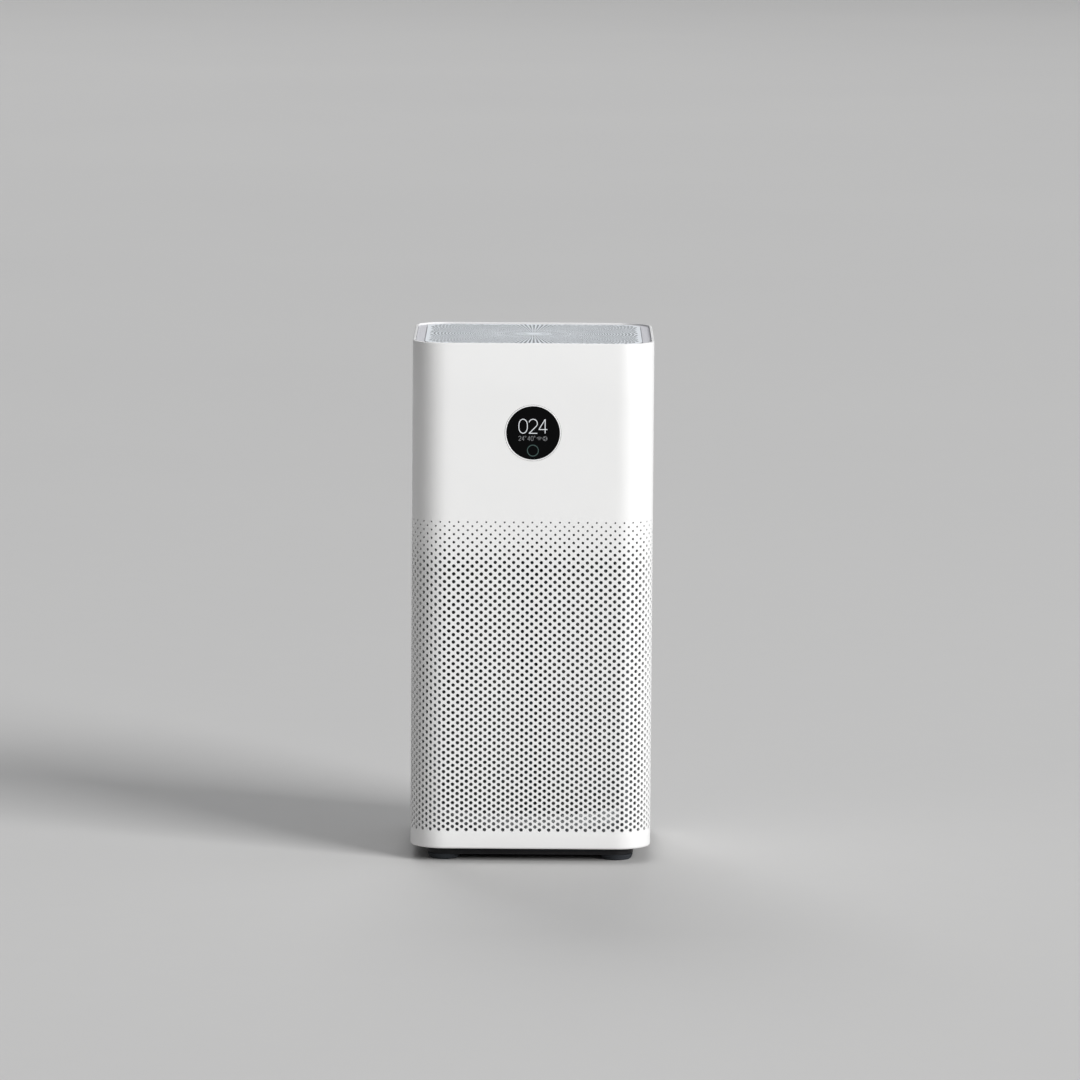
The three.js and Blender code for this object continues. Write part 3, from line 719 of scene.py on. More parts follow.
def winding(name, colour):
    """Enamelled wire wound side by side, darker in the grooves between the turns and lighter on their crowns:
    painted shade and painted highlight.
    """
    s = Surface(name, metallic=0.7, coat=0.4)
    turns = s.waves(0.55 * MM, "Z", 0.4)
    # painted shade in the grooves and painted highlight on the crowns, following the same ridges as the bump
    s.colour(s.mix(turns, shaded(colour, -0.55), shaded(colour, 0.15)))
    s.roughness(s.spread(s.noise(2 * MM), 0.28, 0.42))
    s.bump(turns, 0.12 * MM)
    return s


def woven(name, colour, thread):
    """Plain weave: two sets of threads that pass over and under each other. Its colour is darker where the
    weave sinks and lighter on the raised crossings, scaled by random fuzz: partly random tone, partly painted
    shade and painted highlight.
    """
    s = Surface(name, sheen=0.25, specular=0.3)
    weave = s.product(s.waves(thread, "X", 0.3), s.waves(thread, "Z", 0.3))
    fuzz = s.noise(4 * MM, 4.0, 0.7)
    # partly random tone from the fuzz, partly painted shade in the low gaps and painted highlight on the
    # raised crossings
    s.colour(s.mix(s.product(fuzz, weave), shaded(colour, -0.18), shaded(colour, 0.18)))
    s.roughness(s.spread(fuzz, 0.75, 0.95))
    s.bump(weave, 0.12 * MM)
    return s


def paper(name, colour):
    """Filter paper: felted fibres with a little grey dust held in them."""
    s = Surface(name, sheen=0.3, specular=0.25)
    fibres = s.noise(0.25 * MM, 6.0, 0.8, s.stretched((1, 1, 0.25)))
    dust = s.spread(s.noise(18 * MM, 5.0, 0.65), 0.0, 0.3, start=0.45, end=0.75)
    s.colour(s.mix(dust, s.mix(fibres, shaded(colour, -0.07), shaded(colour, 0.04)), shaded(colour, -0.45)))
    s.roughness(s.spread(fibres, 0.82, 0.98))
    s.bump(fibres, 0.06 * MM)
    return s


def granules(name, colour):
    """Packed carbon granules, each lighter in its middle and darker towards its edge: painted highlight, and
    painted shade between the granules.
    """
    s = Surface(name, specular=0.4)
    size = 1.3 * MM
    grains = s.cells(size)
    # painted highlight in each granule's middle and painted shade towards its edge
    s.colour(s.mix(grains, shaded(colour, 0.9), shaded(colour, -0.6)))
    s.roughness(s.spread(s.noise(size), 0.55, 0.9))
    s.bump(grains, 0.5 * MM)
    return s


def foamed(name, colour):
    """Closed-cell foam, darker in the middle of each pore and lighter on the walls between pores: painted
    shade in the pores.
    """
    s = Surface(name, specular=0.25)
    pores = s.cells(0.7 * MM)
    # painted shade: darker down in each pore, lighter on the walls between them
    s.colour(s.mix(pores, shaded(colour, -0.5), shaded(colour, 0.5)))
    s.roughness(s.spread(s.noise(2 * MM), 0.85, 1.0))
    s.bump(pores, 0.15 * MM)
    return s


def glossy_window(name, colour):
    """A tinted display window: nearly clear gloss with faint wiping marks."""
    s = Surface(name, specular=0.06)
    marks = s.noise(14 * MM, 5.0, 0.7, s.stretched((1, 1, 0.35)))
    s.colour(s.mix(marks, shaded(colour, -0.3), shaded(colour, 0.6)))
    s.roughness(s.spread(marks, 0.05, 0.13, start=0.35, end=0.75))
    s.bump(s.noise(6 * MM, 2.0), 0.002 * MM, 0.4)
    return s


def lit(name, colour, strength):
    """A shape on the display that gives light, with the fine dots of its panel."""
    s = Surface(name)
    dots = s.cells(0.32 * MM)
    s.colour(s.mix(dots, shaded(colour, -0.9), shaded(colour, -0.95)))
    s.roughness(s.spread(dots, 0.25, 0.4))
    s.bump(dots, 0.004 * MM)
    s.feed(s.shader.inputs["Emission Color"], s.mix(dots, colour, shaded(colour, -0.25)))
    s.shader.inputs["Emission Strength"].default_value = strength
    return s


def pale_floor(name):
    """A plain matt floor with faint clouds in its tone."""
    s = Surface(name, specular=0.2)
    s.colour(s.mix(s.noise(1.6, 2.0), (0.60, 0.595, 0.59), (0.625, 0.62, 0.612)))
    s.roughness(s.spread(s.noise(0.05, 4.0), 0.75, 0.9))
    s.bump(s.noise(0.002, 3.0), 0.00005)
    return s


FINISHES = {
    "shell": moulded("shell", (0.83, 0.83, 0.825), (0.34, 0.44), 0.012),
    "frame": moulded("frame", (0.60, 0.60, 0.64), (0.38, 0.48), 0.02),
    # the grille: its own pale colour on top, and painted shade in its holes and below
    "grille": top_colour_over_painted_shade("grille", (0.80, 0.84, 0.88), (0.07, 0.075, 0.08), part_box("top_grille")[1].z),
    "black_plastic": moulded("black_plastic", (0.013, 0.013, 0.015), (0.42, 0.58), 0.2, 0.6 * MM, 0.015 * MM,
                             specular=0.25),
    "inner_plastic": moulded("inner_plastic", (0.28, 0.30, 0.32), (0.45, 0.6), 0.05, 0.5 * MM, 0.01 * MM),
    "rubber": rubber("rubber", (0.028, 0.032, 0.038)),
    "steel": metal("steel", (0.55, 0.56, 0.58)),
    "brass": metal("brass", (0.62, 0.47, 0.20), (0.2, 0.32), (1.0, 0.03, 1.0)),
    "board": circuit_board("board", (0.03, 0.10, 0.06)),
    "copper": winding("copper", (0.45, 0.20, 0.07)),
    "cable": rubber("cable", (0.02, 0.02, 0.021), (0.45, 0.6)),
    "cap_plastic": moulded("cap_plastic", (0.80, 0.82, 0.83), (0.42, 0.55), 0.03),
    "media": paper("media", (0.80, 0.79, 0.75)),
    "net": woven("net", (0.08, 0.11, 0.13), 0.5 * MM),
    "carbon": granules("carbon", (0.02, 0.02, 0.02)),
    "foam": foamed("foam", (0.04, 0.04, 0.045)),
    "strap": woven("strap", (0.06, 0.18, 0.29), 0.9 * MM),
    "bright_trim": moulded("bright_trim", (0.96, 0.96, 0.96), (0.2, 0.3), 0.01, coat=0.6),
    "display_glass": glossy_window("display_glass", (0.0015, 0.0016, 0.0018)),
    "key_print": moulded("key_print", (0.04, 0.078, 0.07), (0.3, 0.4), 0.06),
}
DIGIT_LIGHT = lit("digit_light", (0.92, 0.95, 0.98), 0.85)
ICON_LIGHT = lit("icon_light", (0.62, 0.63, 0.65), 0.3)


def finished(thing, body, slot, *stands_for, material=None):
    """Gives a new piece the material of its slot, or the one given, and its body, and hides the CAD nodes
    that it stands for.
    """
    thing.data.materials.clear()
    thing.data.materials.append((material or FINISHES[slot]).material)
    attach(thing, body)
    if stands_for:
        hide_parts(*stands_for)
    return thing


# ---------------------------------------------------------------- camera, at the height of a seated eye
AIM_HEIGHT = 0.32445
AIM_ASIDE = 0.0077
CAMERA_DISTANCE = 7.05
CAMERA_RISE = math.radians(6.76)
CAMERA_ROLL = math.radians(0.4)
LENS = 237


def make_camera():
    back = Vector((0, -math.cos(CAMERA_RISE), math.sin(CAMERA_RISE)))
    camera = link(bpy.data.objects.new("camera", bpy.data.cameras.new("camera")))
    camera.data.lens = LENS
    camera.data.sensor_width = 36
    camera.data.clip_end = 100
    camera.location = Vector((AIM_ASIDE, -HALF, AIM_HEIGHT)) + back * CAMERA_DISTANCE
    camera.rotation_mode = "QUATERNION"
    roll = Quaternion((0, 0, 1), CAMERA_ROLL)
    camera.rotation_quaternion = (-back).to_track_quat("-Z", "Y") @ roll
    bpy.context.scene.camera = camera


# ---------------------------------------------------------------- the casing's skins
SEAM_STEP = 33  # the front skin meets the side skins this many half pitches from the middle
SIDE_STEPS = 66  # and the holes on the sides end this many from it
SIDE_END = QUARTER + DOOR_LOW.y - GAP  # where the casing stops for the door, measured round the outside
LOW_ROUND = 2.2 * MM  # radius of the casing's lower edge
RIM_ROUND = 1.0 * MM  # and of its rim
DISPLAY_Z = (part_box("display_lens")[0].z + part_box("display_lens")[1].z) / 2
DISPLAY_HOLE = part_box("display_ring")[1].x + GAP
DISPLAY_BLOCK = 7  # half width, in half pitches, of the plain square round the display's hole
DISPLAY_LEVELS = (DISPLAY_Z - 32 * MM, DISPLAY_Z + 32 * MM)  # of that square


def steps(first, last):
    return [k * HALF_PITCH for k in range(first, last + 1)]


def low_edge(z, radius):
    return [z + d for d, _ in rounding(radius)]


def high_edge(z, radius):
    return [z - d for d, _ in rounding(radius)]


def wall_levels():
    """The heights that every upright skin of the casing is divided at."""
    perforated = [row_edge(n) for n in range(ROWS + 1)]
    return low_edge(BOTTOM, LOW_ROUND) + perforated + [*DISPLAY_LEVELS] + high_edge(TOP, RIM_ROUND)


def perforate(skin, origin, even, odd, keep=lambda k, n: True):
    """Round holes row by row: even and odd are the half pitches of the holes in even and odd rows. The lines
    between the rows swing away from each hole, which leaves it more room."""
    for i, s in enumerate(skin.columns):
        k = round((s - origin) / HALF_PITCH)
        if abs(s - origin - k * HALF_PITCH) < CLOSE:
            for n in range(ROWS + 1):
                if keep(k, n):
                    above = (k - n) % 2 == 0
                    swings = n < ROWS if above else n > 0
                    skin.sway[i, skin.level(row_edge(n))] = ROW_SWAY * swings * (1 if above else -1)
    for n in range(ROWS):
        z = (row_edge(n + 1), row_edge(n))
        for k in even if n % 2 == 0 else odd:
            if keep(k, n):
                s = origin + k * HALF_PITCH
                across = (s - HALF_PITCH, s + HALF_PITCH)
                skin.hole(across, z, (s, row_height(n)), row_radius(n), HOLE_SIDES)


def casing_front():
    skin = Skin(steps(-SEAM_STEP, SEAM_STEP), wall_levels())
    perforate(skin, 0, range(1 - SEAM_STEP, SEAM_STEP, 2), range(2 - SEAM_STEP, SEAM_STEP - 1, 2))
    for n in range(1, ROWS, 2):
        for side in (-1, 1):
            cell = sorted((side * (SEAM_STEP - 1) * HALF_PITCH, side * SEAM_STEP * HALF_PITCH))
            skin.remove(cell, (row_edge(n + 1), row_edge(n)))
    half = DISPLAY_BLOCK * HALF_PITCH
    skin.hole((-half, half), DISPLAY_LEVELS, (0, DISPLAY_Z), DISPLAY_HOLE, ROUND_SIDES)
    skin.round_edge("bottom", LOW_ROUND)
    skin.round_edge("top", RIM_ROUND)
    return finished(skin.build("casing_front"), "tower", "shell", "main_casing")


def casing_side(side):
    """The skin of one flank, from the front skin's staggered edge to the door's seam."""
    first, last = SEAM_STEP - 1, SIDE_STEPS
    columns = [side * s for s in steps(first, last) + [SIDE_END]]
    skin = Skin(columns, wall_levels())
    even = [side * k for k in range(first + 2, last - 1, 2)]
    odd = [side * k for k in range(first + 1, last, 2)]
    perforate(skin, 0, even, odd)
    seam = sorted((side * first * HALF_PITCH, side * SEAM_STEP * HALF_PITCH))
    skin.remove(seam, (BOTTOM, row_edge(ROWS)))
    skin.remove(seam, (row_edge(0), TOP))
    for n in range(0, ROWS, 2):
        skin.remove(seam, (row_edge(n + 1), row_edge(n)))
    skin.round_edge("bottom", LOW_ROUND)
    skin.round_edge("top", RIM_ROUND)
    name = "casing_right" if side > 0 else "casing_left"
    return finished(skin.build(name), "tower", "shell", "main_casing")


def corner_steps(limit):
    """Places round both rear corners, from the middle of the back out to a limit each way."""
    turns = [FLAT + ARC * k / 12 for k in range(13)]
    return [side * u for side in (-1, 1) for u in turns if u < limit] + [-limit, limit]


def window(node):
    """Where a node that shows in the back lies on the developed surface: its (s, z) limits with a gap."""
    low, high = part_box(node)
    return (REAR_S - high.x - GAP, REAR_S - low.x + GAP), (low.z - GAP, high.z + GAP)


BUTTON_HOLE = 5.8 * MM
REAR_STEPS, REAR_STEP = 13, 6 * MM  # columns of the plain back, each way from its middle
CATCH_RIB = (-14, 111, 355.2), (14, (HALF - WALL) / MM, 358.2)  # limits in millimetres


def casing_rear():
    """The fixed strips of the back, above and below the door."""
    reach = REAR_S - SIDE_END
    sensor_s, sensor_z = window("sensor_cover")
    button_low, button_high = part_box("rear_button")
    button_z = (button_low.z + button_high.z) / 2
    around = 9 * MM  # half of the plain square round the button's hole
    button_s, button_block = (REAR_S - around, REAR_S + around), (button_z - around, button_z + around)
    columns = [REAR_S + u for u in corner_steps(reach)] + [*sensor_s, *button_s]
    columns += [REAR_S + k * REAR_STEP for k in range(-REAR_STEPS, REAR_STEPS + 1)]
    levels = [DOOR_HIGH.z + GAP, *sensor_z, *button_block] + high_edge(TOP, RIM_ROUND)
    upper = Skin(columns, levels)
    upper.remove(sensor_s, sensor_z)
    upper.hole(button_s, button_block, (REAR_S, button_z), BUTTON_HOLE, ROUND_SIDES // 2)
    upper.round_edge("top", RIM_ROUND)
    finished(upper.build("casing_rear_upper"), "tower", "shell", "main_casing")

    inlet_s, inlet_z = window("power_inlet")
    columns = [REAR_S + u for u in corner_steps(reach)] + [*inlet_s]
    levels = low_edge(BOTTOM, LOW_ROUND) + [*inlet_z, DOOR_LOW.z - GAP]
    lower = Skin(columns, levels)
    lower.remove(inlet_s, inlet_z)
    lower.round_edge("bottom", LOW_ROUND)
    finished(lower.build("casing_rear_lower"), "tower", "shell", "main_casing")
    finished(block("casing_catch_rib", *CATCH_RIB), "tower", "shell", "main_casing")


# ---------------------------------------------------------------- the rear door
DOOR_STEPS = 31
DOOR_ROUND = 0.8 * MM
PEG_PLACE = (105 * MM, 38 * MM)  # of the door's pegs, aside from the middle and up
LATCH_STEPS = 3  # half width of the latch's window, in half pitches
LATCH_ROWS = 4  # height of that window, in rows
LATCH_SILL = 326.4 * MM  # its lower edge, which the pressed latch stays clear of


def door_skin():
    reach = REAR_S - SIDE_END - GAP
    columns = [REAR_S + u for u in steps(-DOOR_STEPS, DOOR_STEPS)]
    columns += [REAR_S + side * (reach - d) for side in (-1, 1) for d, _ in rounding(DOOR_ROUND)]
    levels = low_edge(DOOR_LOW.z, DOOR_ROUND) + [row_edge(n) for n in range(ROWS + 1)]
    levels += high_edge(DOOR_HIGH.z, DOOR_ROUND)
    skin = Skin(columns, levels)
    clear = lambda k, n: abs(k) > LATCH_STEPS + 1 or n > LATCH_ROWS
    even, odd = range(1 - DOOR_STEPS, DOOR_STEPS, 2), range(2 - DOOR_STEPS, DOOR_STEPS - 1, 2)
    perforate(skin, REAR_S, even, odd, clear)
    half, sill = LATCH_STEPS * HALF_PITCH, row_edge(LATCH_ROWS)
    skin.remove((REAR_S - half, REAR_S + half), (sill, row_edge(0)))
    first, last = skin.column(REAR_S - half), skin.column(REAR_S + half)
    skin.sway[first:last + 1, skin.level(sill)] = LATCH_SILL - sill
    for side in ("left", "right", "bottom", "top"):
        skin.round_edge(side, DOOR_ROUND)
    return finished(skin.build("door_skin"), "door", "shell", "rear_door")


def door_fittings():
    """The rails and seat that guide the latch, and the two pegs that hook the door's foot."""
    front, inside = 112.5, (HALF - SKIN) / MM
    low, high = 306, 352
    channel, thick, clearance = 17.5, 3, 0.1  # between the rails; of the rails and the seat; at its ends
    for side, name in ((-1, "left"), (1, "right")):
        left, right = sorted((side * channel, side * (channel + thick)))
        rail = block(f"door_rail_{name}", (left, front, low), (right, inside, high))
        finished(rail, "door", "shell", "rear_door")
        profile = [(0, 90), (1.4, 90), (2, 90.8), (2, 107), (3, 108.5), (3, 111), (2, 111.8), (0, 111.8)]
        peg = turned(f"door_peg_{name}", mm(profile), 32)
        finished(facing(peg, 1, side * PEG_PLACE[0], PEG_PLACE[1]), "door", "shell", "rear_door")
    half = channel - clearance
    seat = block("door_spring_seat", (-half, front, low), (half, inside, low + thick))
    finished(seat, "door", "shell", "rear_door")


def spring():
    """The latch's spring, which shortens as the latch is pressed."""
    low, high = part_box("latch_spring")
    middle = (low + high) / 2
    radius, wire, turns, per_turn = (high.x - low.x) / 2 - 0.35 * MM, 0.35 * MM, 5, 20
    rise = high.z - low.z - 2 * wire
    path = []
    for k in range(turns * per_turn + 1):
        share, a = k / (turns * per_turn), 2 * math.pi * k / per_turn
        path.append((radius * math.cos(a), middle.y + radius * math.sin(a), low.z + wire + rise * share))
    made = finished(tube("latch_coil", path, wire, 8), "door", "steel", "latch_spring")
    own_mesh(made)


# ---------------------------------------------------------------- top frame and grille
FRAME_LOW, FRAME_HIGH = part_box("top_frame")
GRILLE_LOW, GRILLE_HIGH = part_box("top_grille")
FRAME_WIDTH = 9 * MM
GRILLE_CORNER = CORNER - WALL - GAP - FRAME_WIDTH - GAP
RAYS = (36, 72, 144)  # rows of holes that run out from the grille's middle, in its three bands
FIRST_BAND = 9 * MM  # inner radius of the first band; each of the others starts at twice the one before
BOSS = 7 * MM  # radius of the plain button in the grille's middle
GRILLE_EDGE = 3 * MM  # left plain along the grille's outline
GRILLE_SIDES = 10  # of each of its holes


def top_frame():
    """The recessed band round the grille, with the ledge that the grille lies on."""
    top, bottom, ledge = FRAME_HIGH.z, FRAME_LOW.z, GRILLE_LOW.z - GAP
    deep = FRAME_WIDTH + 3 * MM
    corners = [(0, bottom), (deep, bottom), (deep, ledge), (FRAME_WIDTH, ledge), (FRAME_WIDTH, top), (0, top)]
    half = FRAME_HIGH.x
    corner = CORNER - (HALF - half)
    made = swept_square("top_frame_band", half, corner, rounded_profile(corners, 0.7 * MM))
    finished(made, "tower", "frame", "top_frame")


def grille_holes(half, corner):
    """Holes along rays from the middle, on rings that spread out and grow on the way."""
    holes, radius = [], FIRST_BAND
    while radius < half * math.sqrt(2):
        count = RAYS[min(int(math.log2(radius / FIRST_BAND)), len(RAYS) - 1)]
        spacing = 2 * math.pi * radius / count
        size = min(0.34 * spacing, 0.45 * MM + 0.014 * radius)
        for k in range(count):
            a = 2 * math.pi * k / count - math.pi / 2
            x, y = radius * math.cos(a), radius * math.sin(a)
            beyond = math.hypot(max(abs(x) - half + corner, 0), max(abs(y) - half + corner, 0))
            edge = corner - beyond if beyond > 0 else half - max(abs(x), abs(y))
            if edge > GRILLE_EDGE + size:
                holes.append(circle(size, GRILLE_SIDES, (x, y), a))
        radius += 0.87 * spacing
    return holes


def top_grille():
    half = GRILLE_HIGH.x
    outline = rounded_square(half, GRILLE_CORNER, 16)
    holes = grille_holes(half, GRILLE_CORNER)
    plate = plate_with_holes("grille_plate", outline, holes, GRILLE_LOW.z, GRILLE_HIGH.z)
    finished(plate, "tower", "grille", "top_grille")
    r, top = BOSS / MM, GRILLE_LOW.z / MM
    profile = [(0, top), (r - 0.6, top), (r, top - 0.2), (r, top - 1.6), (r - 1.4, top - 2.2), (0, top - 2.2)]
    finished(turned("grille_boss", mm(profile), 48), "tower", "grille", "top_grille")


# ---------------------------------------------------------------- display
LENS_LOW, LENS_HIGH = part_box("display_lens")
LENS_FACE = -LENS_LOW.y  # how far the window's face is in front of the middle
GLYPH_RISE = 0.03 * MM
DIGIT_SIZE = (8.4 * MM, 14.0 * MM)
DIGIT_STEP = 9.9 * MM
DIGIT_STROKE = 0.78 * MM
ICON_STROKE = 0.45 * MM


def arc(centre, radii, first, last, count=14):
    """Points along part of an ellipse, with angles in degrees."""
    turns = [math.radians(first + (last - first) * k / count) for k in range(count + 1)]
    return [(centre[0] + radii[0] * math.cos(a), centre[1] + radii[1] * math.sin(a)) for a in turns]


def digit(number, low, size):
    """The lines of a 0, 2 or 4 in a box, as lists of (x, z) points and whether each closes on itself."""
    (x, z), (w, h) = low, size
    r = w / 2
    if number == 0:
        tall = 0.42 * h
        path = arc((x + r, z + h - tall), (r, tall), 0, 180) + arc((x + r, z + tall), (r, tall), 180, 360)
        return [(path, True)]
    if number == 2:
        bowl = arc((x + r, z + h - r), (r, r), 165, -38)
        return [(bowl + [(x + 0.04 * w, z)], False), ([(x, z), (x + w, z)], False)]
    stem, bar = x + 0.74 * w, z + 0.27 * h
    return [([(stem, z), (stem, z + h)], False), ([(stem, z + h), (x, bar)], False),
            ([(x, bar), (x + w, bar)], False)]


def row_of_digits(numbers, middle, low, size, step, width):
    """Lines for some digits side by side, centred across a place."""
    first = middle - (step * (len(numbers) - 1) + size[0]) / 2
    lines = []
    for k, number in enumerate(numbers):
        lines += [(path, width, closed) for path, closed in digit(number, (first + k * step, low), size)]
    return lines


def ring_profile(inner, outer, back, front, radius):
    """The section of a ring with round edges."""
    return rounded_profile([(inner, back), (outer, back), (outer, front), (inner, front)], radius)


def display():
    """The window in its ring, and what is printed or lit on the window's face."""
    wide, face, back, slope = LENS_HIGH.x / MM, LENS_FACE / MM, 117.5, 0.35
    profile = [(0, back), (wide, back), (wide, face - slope), (wide - slope, face), (0, face)]
    lens = turned("display_window", mm(profile))
    finished(facing(lens, -1, 0, DISPLAY_Z), "tower", "display_glass", "display_lens")

    low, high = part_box("display_ring")
    section = ring_profile(LENS_HIGH.x + GAP, high.x, -high.y, -low.y, 0.45 * MM)
    bezel = turned("display_bezel", section)
    finished(facing(bezel, -1, 0, DISPLAY_Z), "tower", "bright_trim", "display_ring")

    low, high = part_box("touch_key")
    back, front = LENS_FACE + 0.01 * MM, LENS_FACE + 0.14 * MM
    key = turned("touch_ring", ring_profile(high.x - 0.9 * MM, high.x, back, front, 0.06 * MM), 64)
    finished(facing(key, -1, 0, (low.z + high.z) / 2), "tower", "key_print", "touch_key")

    lines = row_of_digits((0, 2, 4), 0.1 * MM, DISPLAY_Z - 0.3 * MM, DIGIT_SIZE, DIGIT_STEP, DIGIT_STROKE)
    digits = ribbon_mesh("display_digits", lines, -LENS_FACE, GLYPH_RISE)
    finished(digits, "tower", "key_print", material=DIGIT_LIGHT)
    icons = ribbon_mesh("display_icons", icon_lines(DISPLAY_Z - 7.6 * MM), -LENS_FACE, GLYPH_RISE)
    finished(icons, "tower", "key_print", material=ICON_LIGHT)


def icon_lines(low):
    """The small dim row under the digits: two readings, a signal mark and a fan mark."""
    size, step = (2.3 * MM, 4.4 * MM), 3.2 * MM
    lines = row_of_digits((2, 4), -11.4 * MM, low, size, step, ICON_STROKE)
    lines += row_of_digits((4, 0), -2.4 * MM, low, size, step, ICON_STROKE)
    tip = low + 4.0 * MM
    for x in (-7.4, 1.6):
        lines.append((arc((x * MM, tip), (0.6 * MM, 0.6 * MM), 0, 330, 10), 0.35 * MM, True))
    for radius in (1.2, 2.4, 3.6):
        lines.append((arc((6.3 * MM, low), (radius * MM, radius * MM), 45, 135, 8), ICON_STROKE, False))
    hub = (12.0 * MM, low + 2.1 * MM)
    lines.append((arc(hub, (2.1 * MM, 2.1 * MM), 0, 345, 20), 0.4 * MM, True))
    for first in (90, 210, 330):
        lines.append((arc(hub, (1.3 * MM, 1.3 * MM), first, first + 70, 6), 0.7 * MM, False))
    return lines


# ---------------------------------------------------------------- feet and button
def feet():
    for corner in ("front_left", "front_right", "rear_right", "rear_left"):
        low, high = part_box(f"foot_{corner}")
        centre = ((low.x + high.x) / 2, (low.y + high.y) / 2)
        profile = [(0, 0), (12.2, 0), (13.6, 0.25), (14.6, 0.8), (15.4, 1.7), (15.7, 2.6), (15.5, 2.9),
                   (15.9, 3.3), (16.5, 4.3), (16.5, 5.7), (0, 5.7)]
        made = turned(f"rubber_foot_{corner}", mm(profile), 72, centre, 25)
        finished(made, "tower", "rubber", f"foot_{corner}")


def back_button():
    low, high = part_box("rear_button")
    profile = [(0, 112.5), (2, 112.5), (2, 114), (7.5, 114), (7.5, 116), (5.5, 116), (5.5, 119.3),
               (5.3, 119.7), (4.7, 119.9), (4.1, 119.8), (2.5, 119.5), (0, 119.4)]
    made = turned("rear_button_cap", mm(profile), 64)
    finished(facing(made, 1, 0, (low.z + high.z) / 2), "button", "frame", "rear_button")


# ---------------------------------------------------------------- filter cartridge
CAP_LOW, CAP_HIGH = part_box("filter_top_cap")
FOOT_LOW, FOOT_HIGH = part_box("filter_bottom_cap")
MEDIA_LOW, MEDIA_HIGH = FOOT_HIGH.z + GAP, CAP_LOW.z - GAP
CARTRIDGE_SIDES = 128
FOLDS = 112
FOLD_OUTER, FOLD_INNER = 94.2 * MM, 72.8 * MM
PAPER = 0.45 * MM
UPRIGHTS, HOOPS = 168, 74  # of the net
RIB_EVERY = 21  # one upright in so many is a wide rib


def filter_caps():
    """The top cap with its ribbed groove, and the bottom cap, which is a rim with a sunk floor."""
    r, z0, z1 = CAP_HIGH.x / MM, CAP_LOW.z / MM, CAP_HIGH.z / MM
    bore = 62
    corners = [(bore, z0), (r, z0), (r, z1 - 2.4), (r - 1.6, z1 - 0.9), (r - 5, z1 - 0.9), (r - 6, z1 - 2.6),
               (bore + 13, z1 - 2.6), (bore + 12, z1), (bore, z1)]
    top = turned("cartridge_top_cap", mm(rounded_profile(corners, 0.8, 3)), CARTRIDGE_SIDES)
    finished(top, "filter", "cap_plastic", "filter_top_cap")
    ribs = []
    for k in range(16):
        a = 2 * math.pi * (k + 0.5) / 16
        across = Vector((-math.sin(a), math.cos(a))) * 0.8 * MM
        out = Vector((math.cos(a), math.sin(a)))
        near, far = out * (bore + 12.4) * MM, out * (r - 5.6) * MM
        ribs.append([tuple(near - across), tuple(far - across), tuple(far + across), tuple(near + across)])
    made = prism("cartridge_cap_ribs", ribs, (z1 - 2.9) * MM, (z1 - 1.1) * MM)
    soften(made, 0.3 * MM)
    finished(face_outwards(made), "filter", "cap_plastic", "filter_top_cap")

    low, high = FOOT_LOW.z / MM, FOOT_HIGH.z / MM
    corners = [(58, low), (r, low), (r, high), (58, high)]
    rim = turned("cartridge_bottom_cap", mm(rounded_profile(corners, 1.2, 3)), CARTRIDGE_SIDES)
    finished(rim, "filter", "cap_plastic", "filter_bottom_cap")
    corners = [(0, low + 5), (58.4, low + 5), (58.4, low + 8), (0, low + 8)]
    base = turned("cartridge_floor", mm(corners))
    finished(base, "filter", "cap_plastic", "filter_bottom_cap")


def pleats():
    """One sheet of filter paper folded round the cartridge and joined where its ends meet."""
    per_fold = 8
    count = FOLDS * per_fold
    middle, reach = (FOLD_OUTER + FOLD_INNER) / 2, (FOLD_OUTER - FOLD_INNER - PAPER) / 2
    line = []
    for k in range(count):
        share = k / per_fold % 1
        wave = 1 - 4 * abs(share - 0.5)
        angle = 2 * math.pi * k / count
        radius = middle + reach * math.sin(wave * math.pi / 2)
        line.append(np.array([radius * math.cos(angle), radius * math.sin(angle)]))
    line = np.array(line)
    ahead = np.roll(line, -1, axis=0) - np.roll(line, 1, axis=0)
    aside = np.stack([-ahead[:, 1], ahead[:, 0]], axis=1) / np.linalg.norm(ahead, axis=1)[:, None]
    faces_of = [line - aside * PAPER / 2, line + aside * PAPER / 2]
    loops = [(face, z) for face, z in ((faces_of[0], MEDIA_LOW), (faces_of[0], MEDIA_HIGH),
                                       (faces_of[1], MEDIA_HIGH), (faces_of[1], MEDIA_LOW))]
    points = [(x, y, z) for face, z in loops for x, y in face]
    quads = []
    for k in range(4):
        quads += band(k * count, (k + 1) % 4 * count, count)
    made = finished(face_outwards(mesh_object("pleated_paper", points, [], quads, sharp=60)),
                    "filter", "media", "filter_pleats")


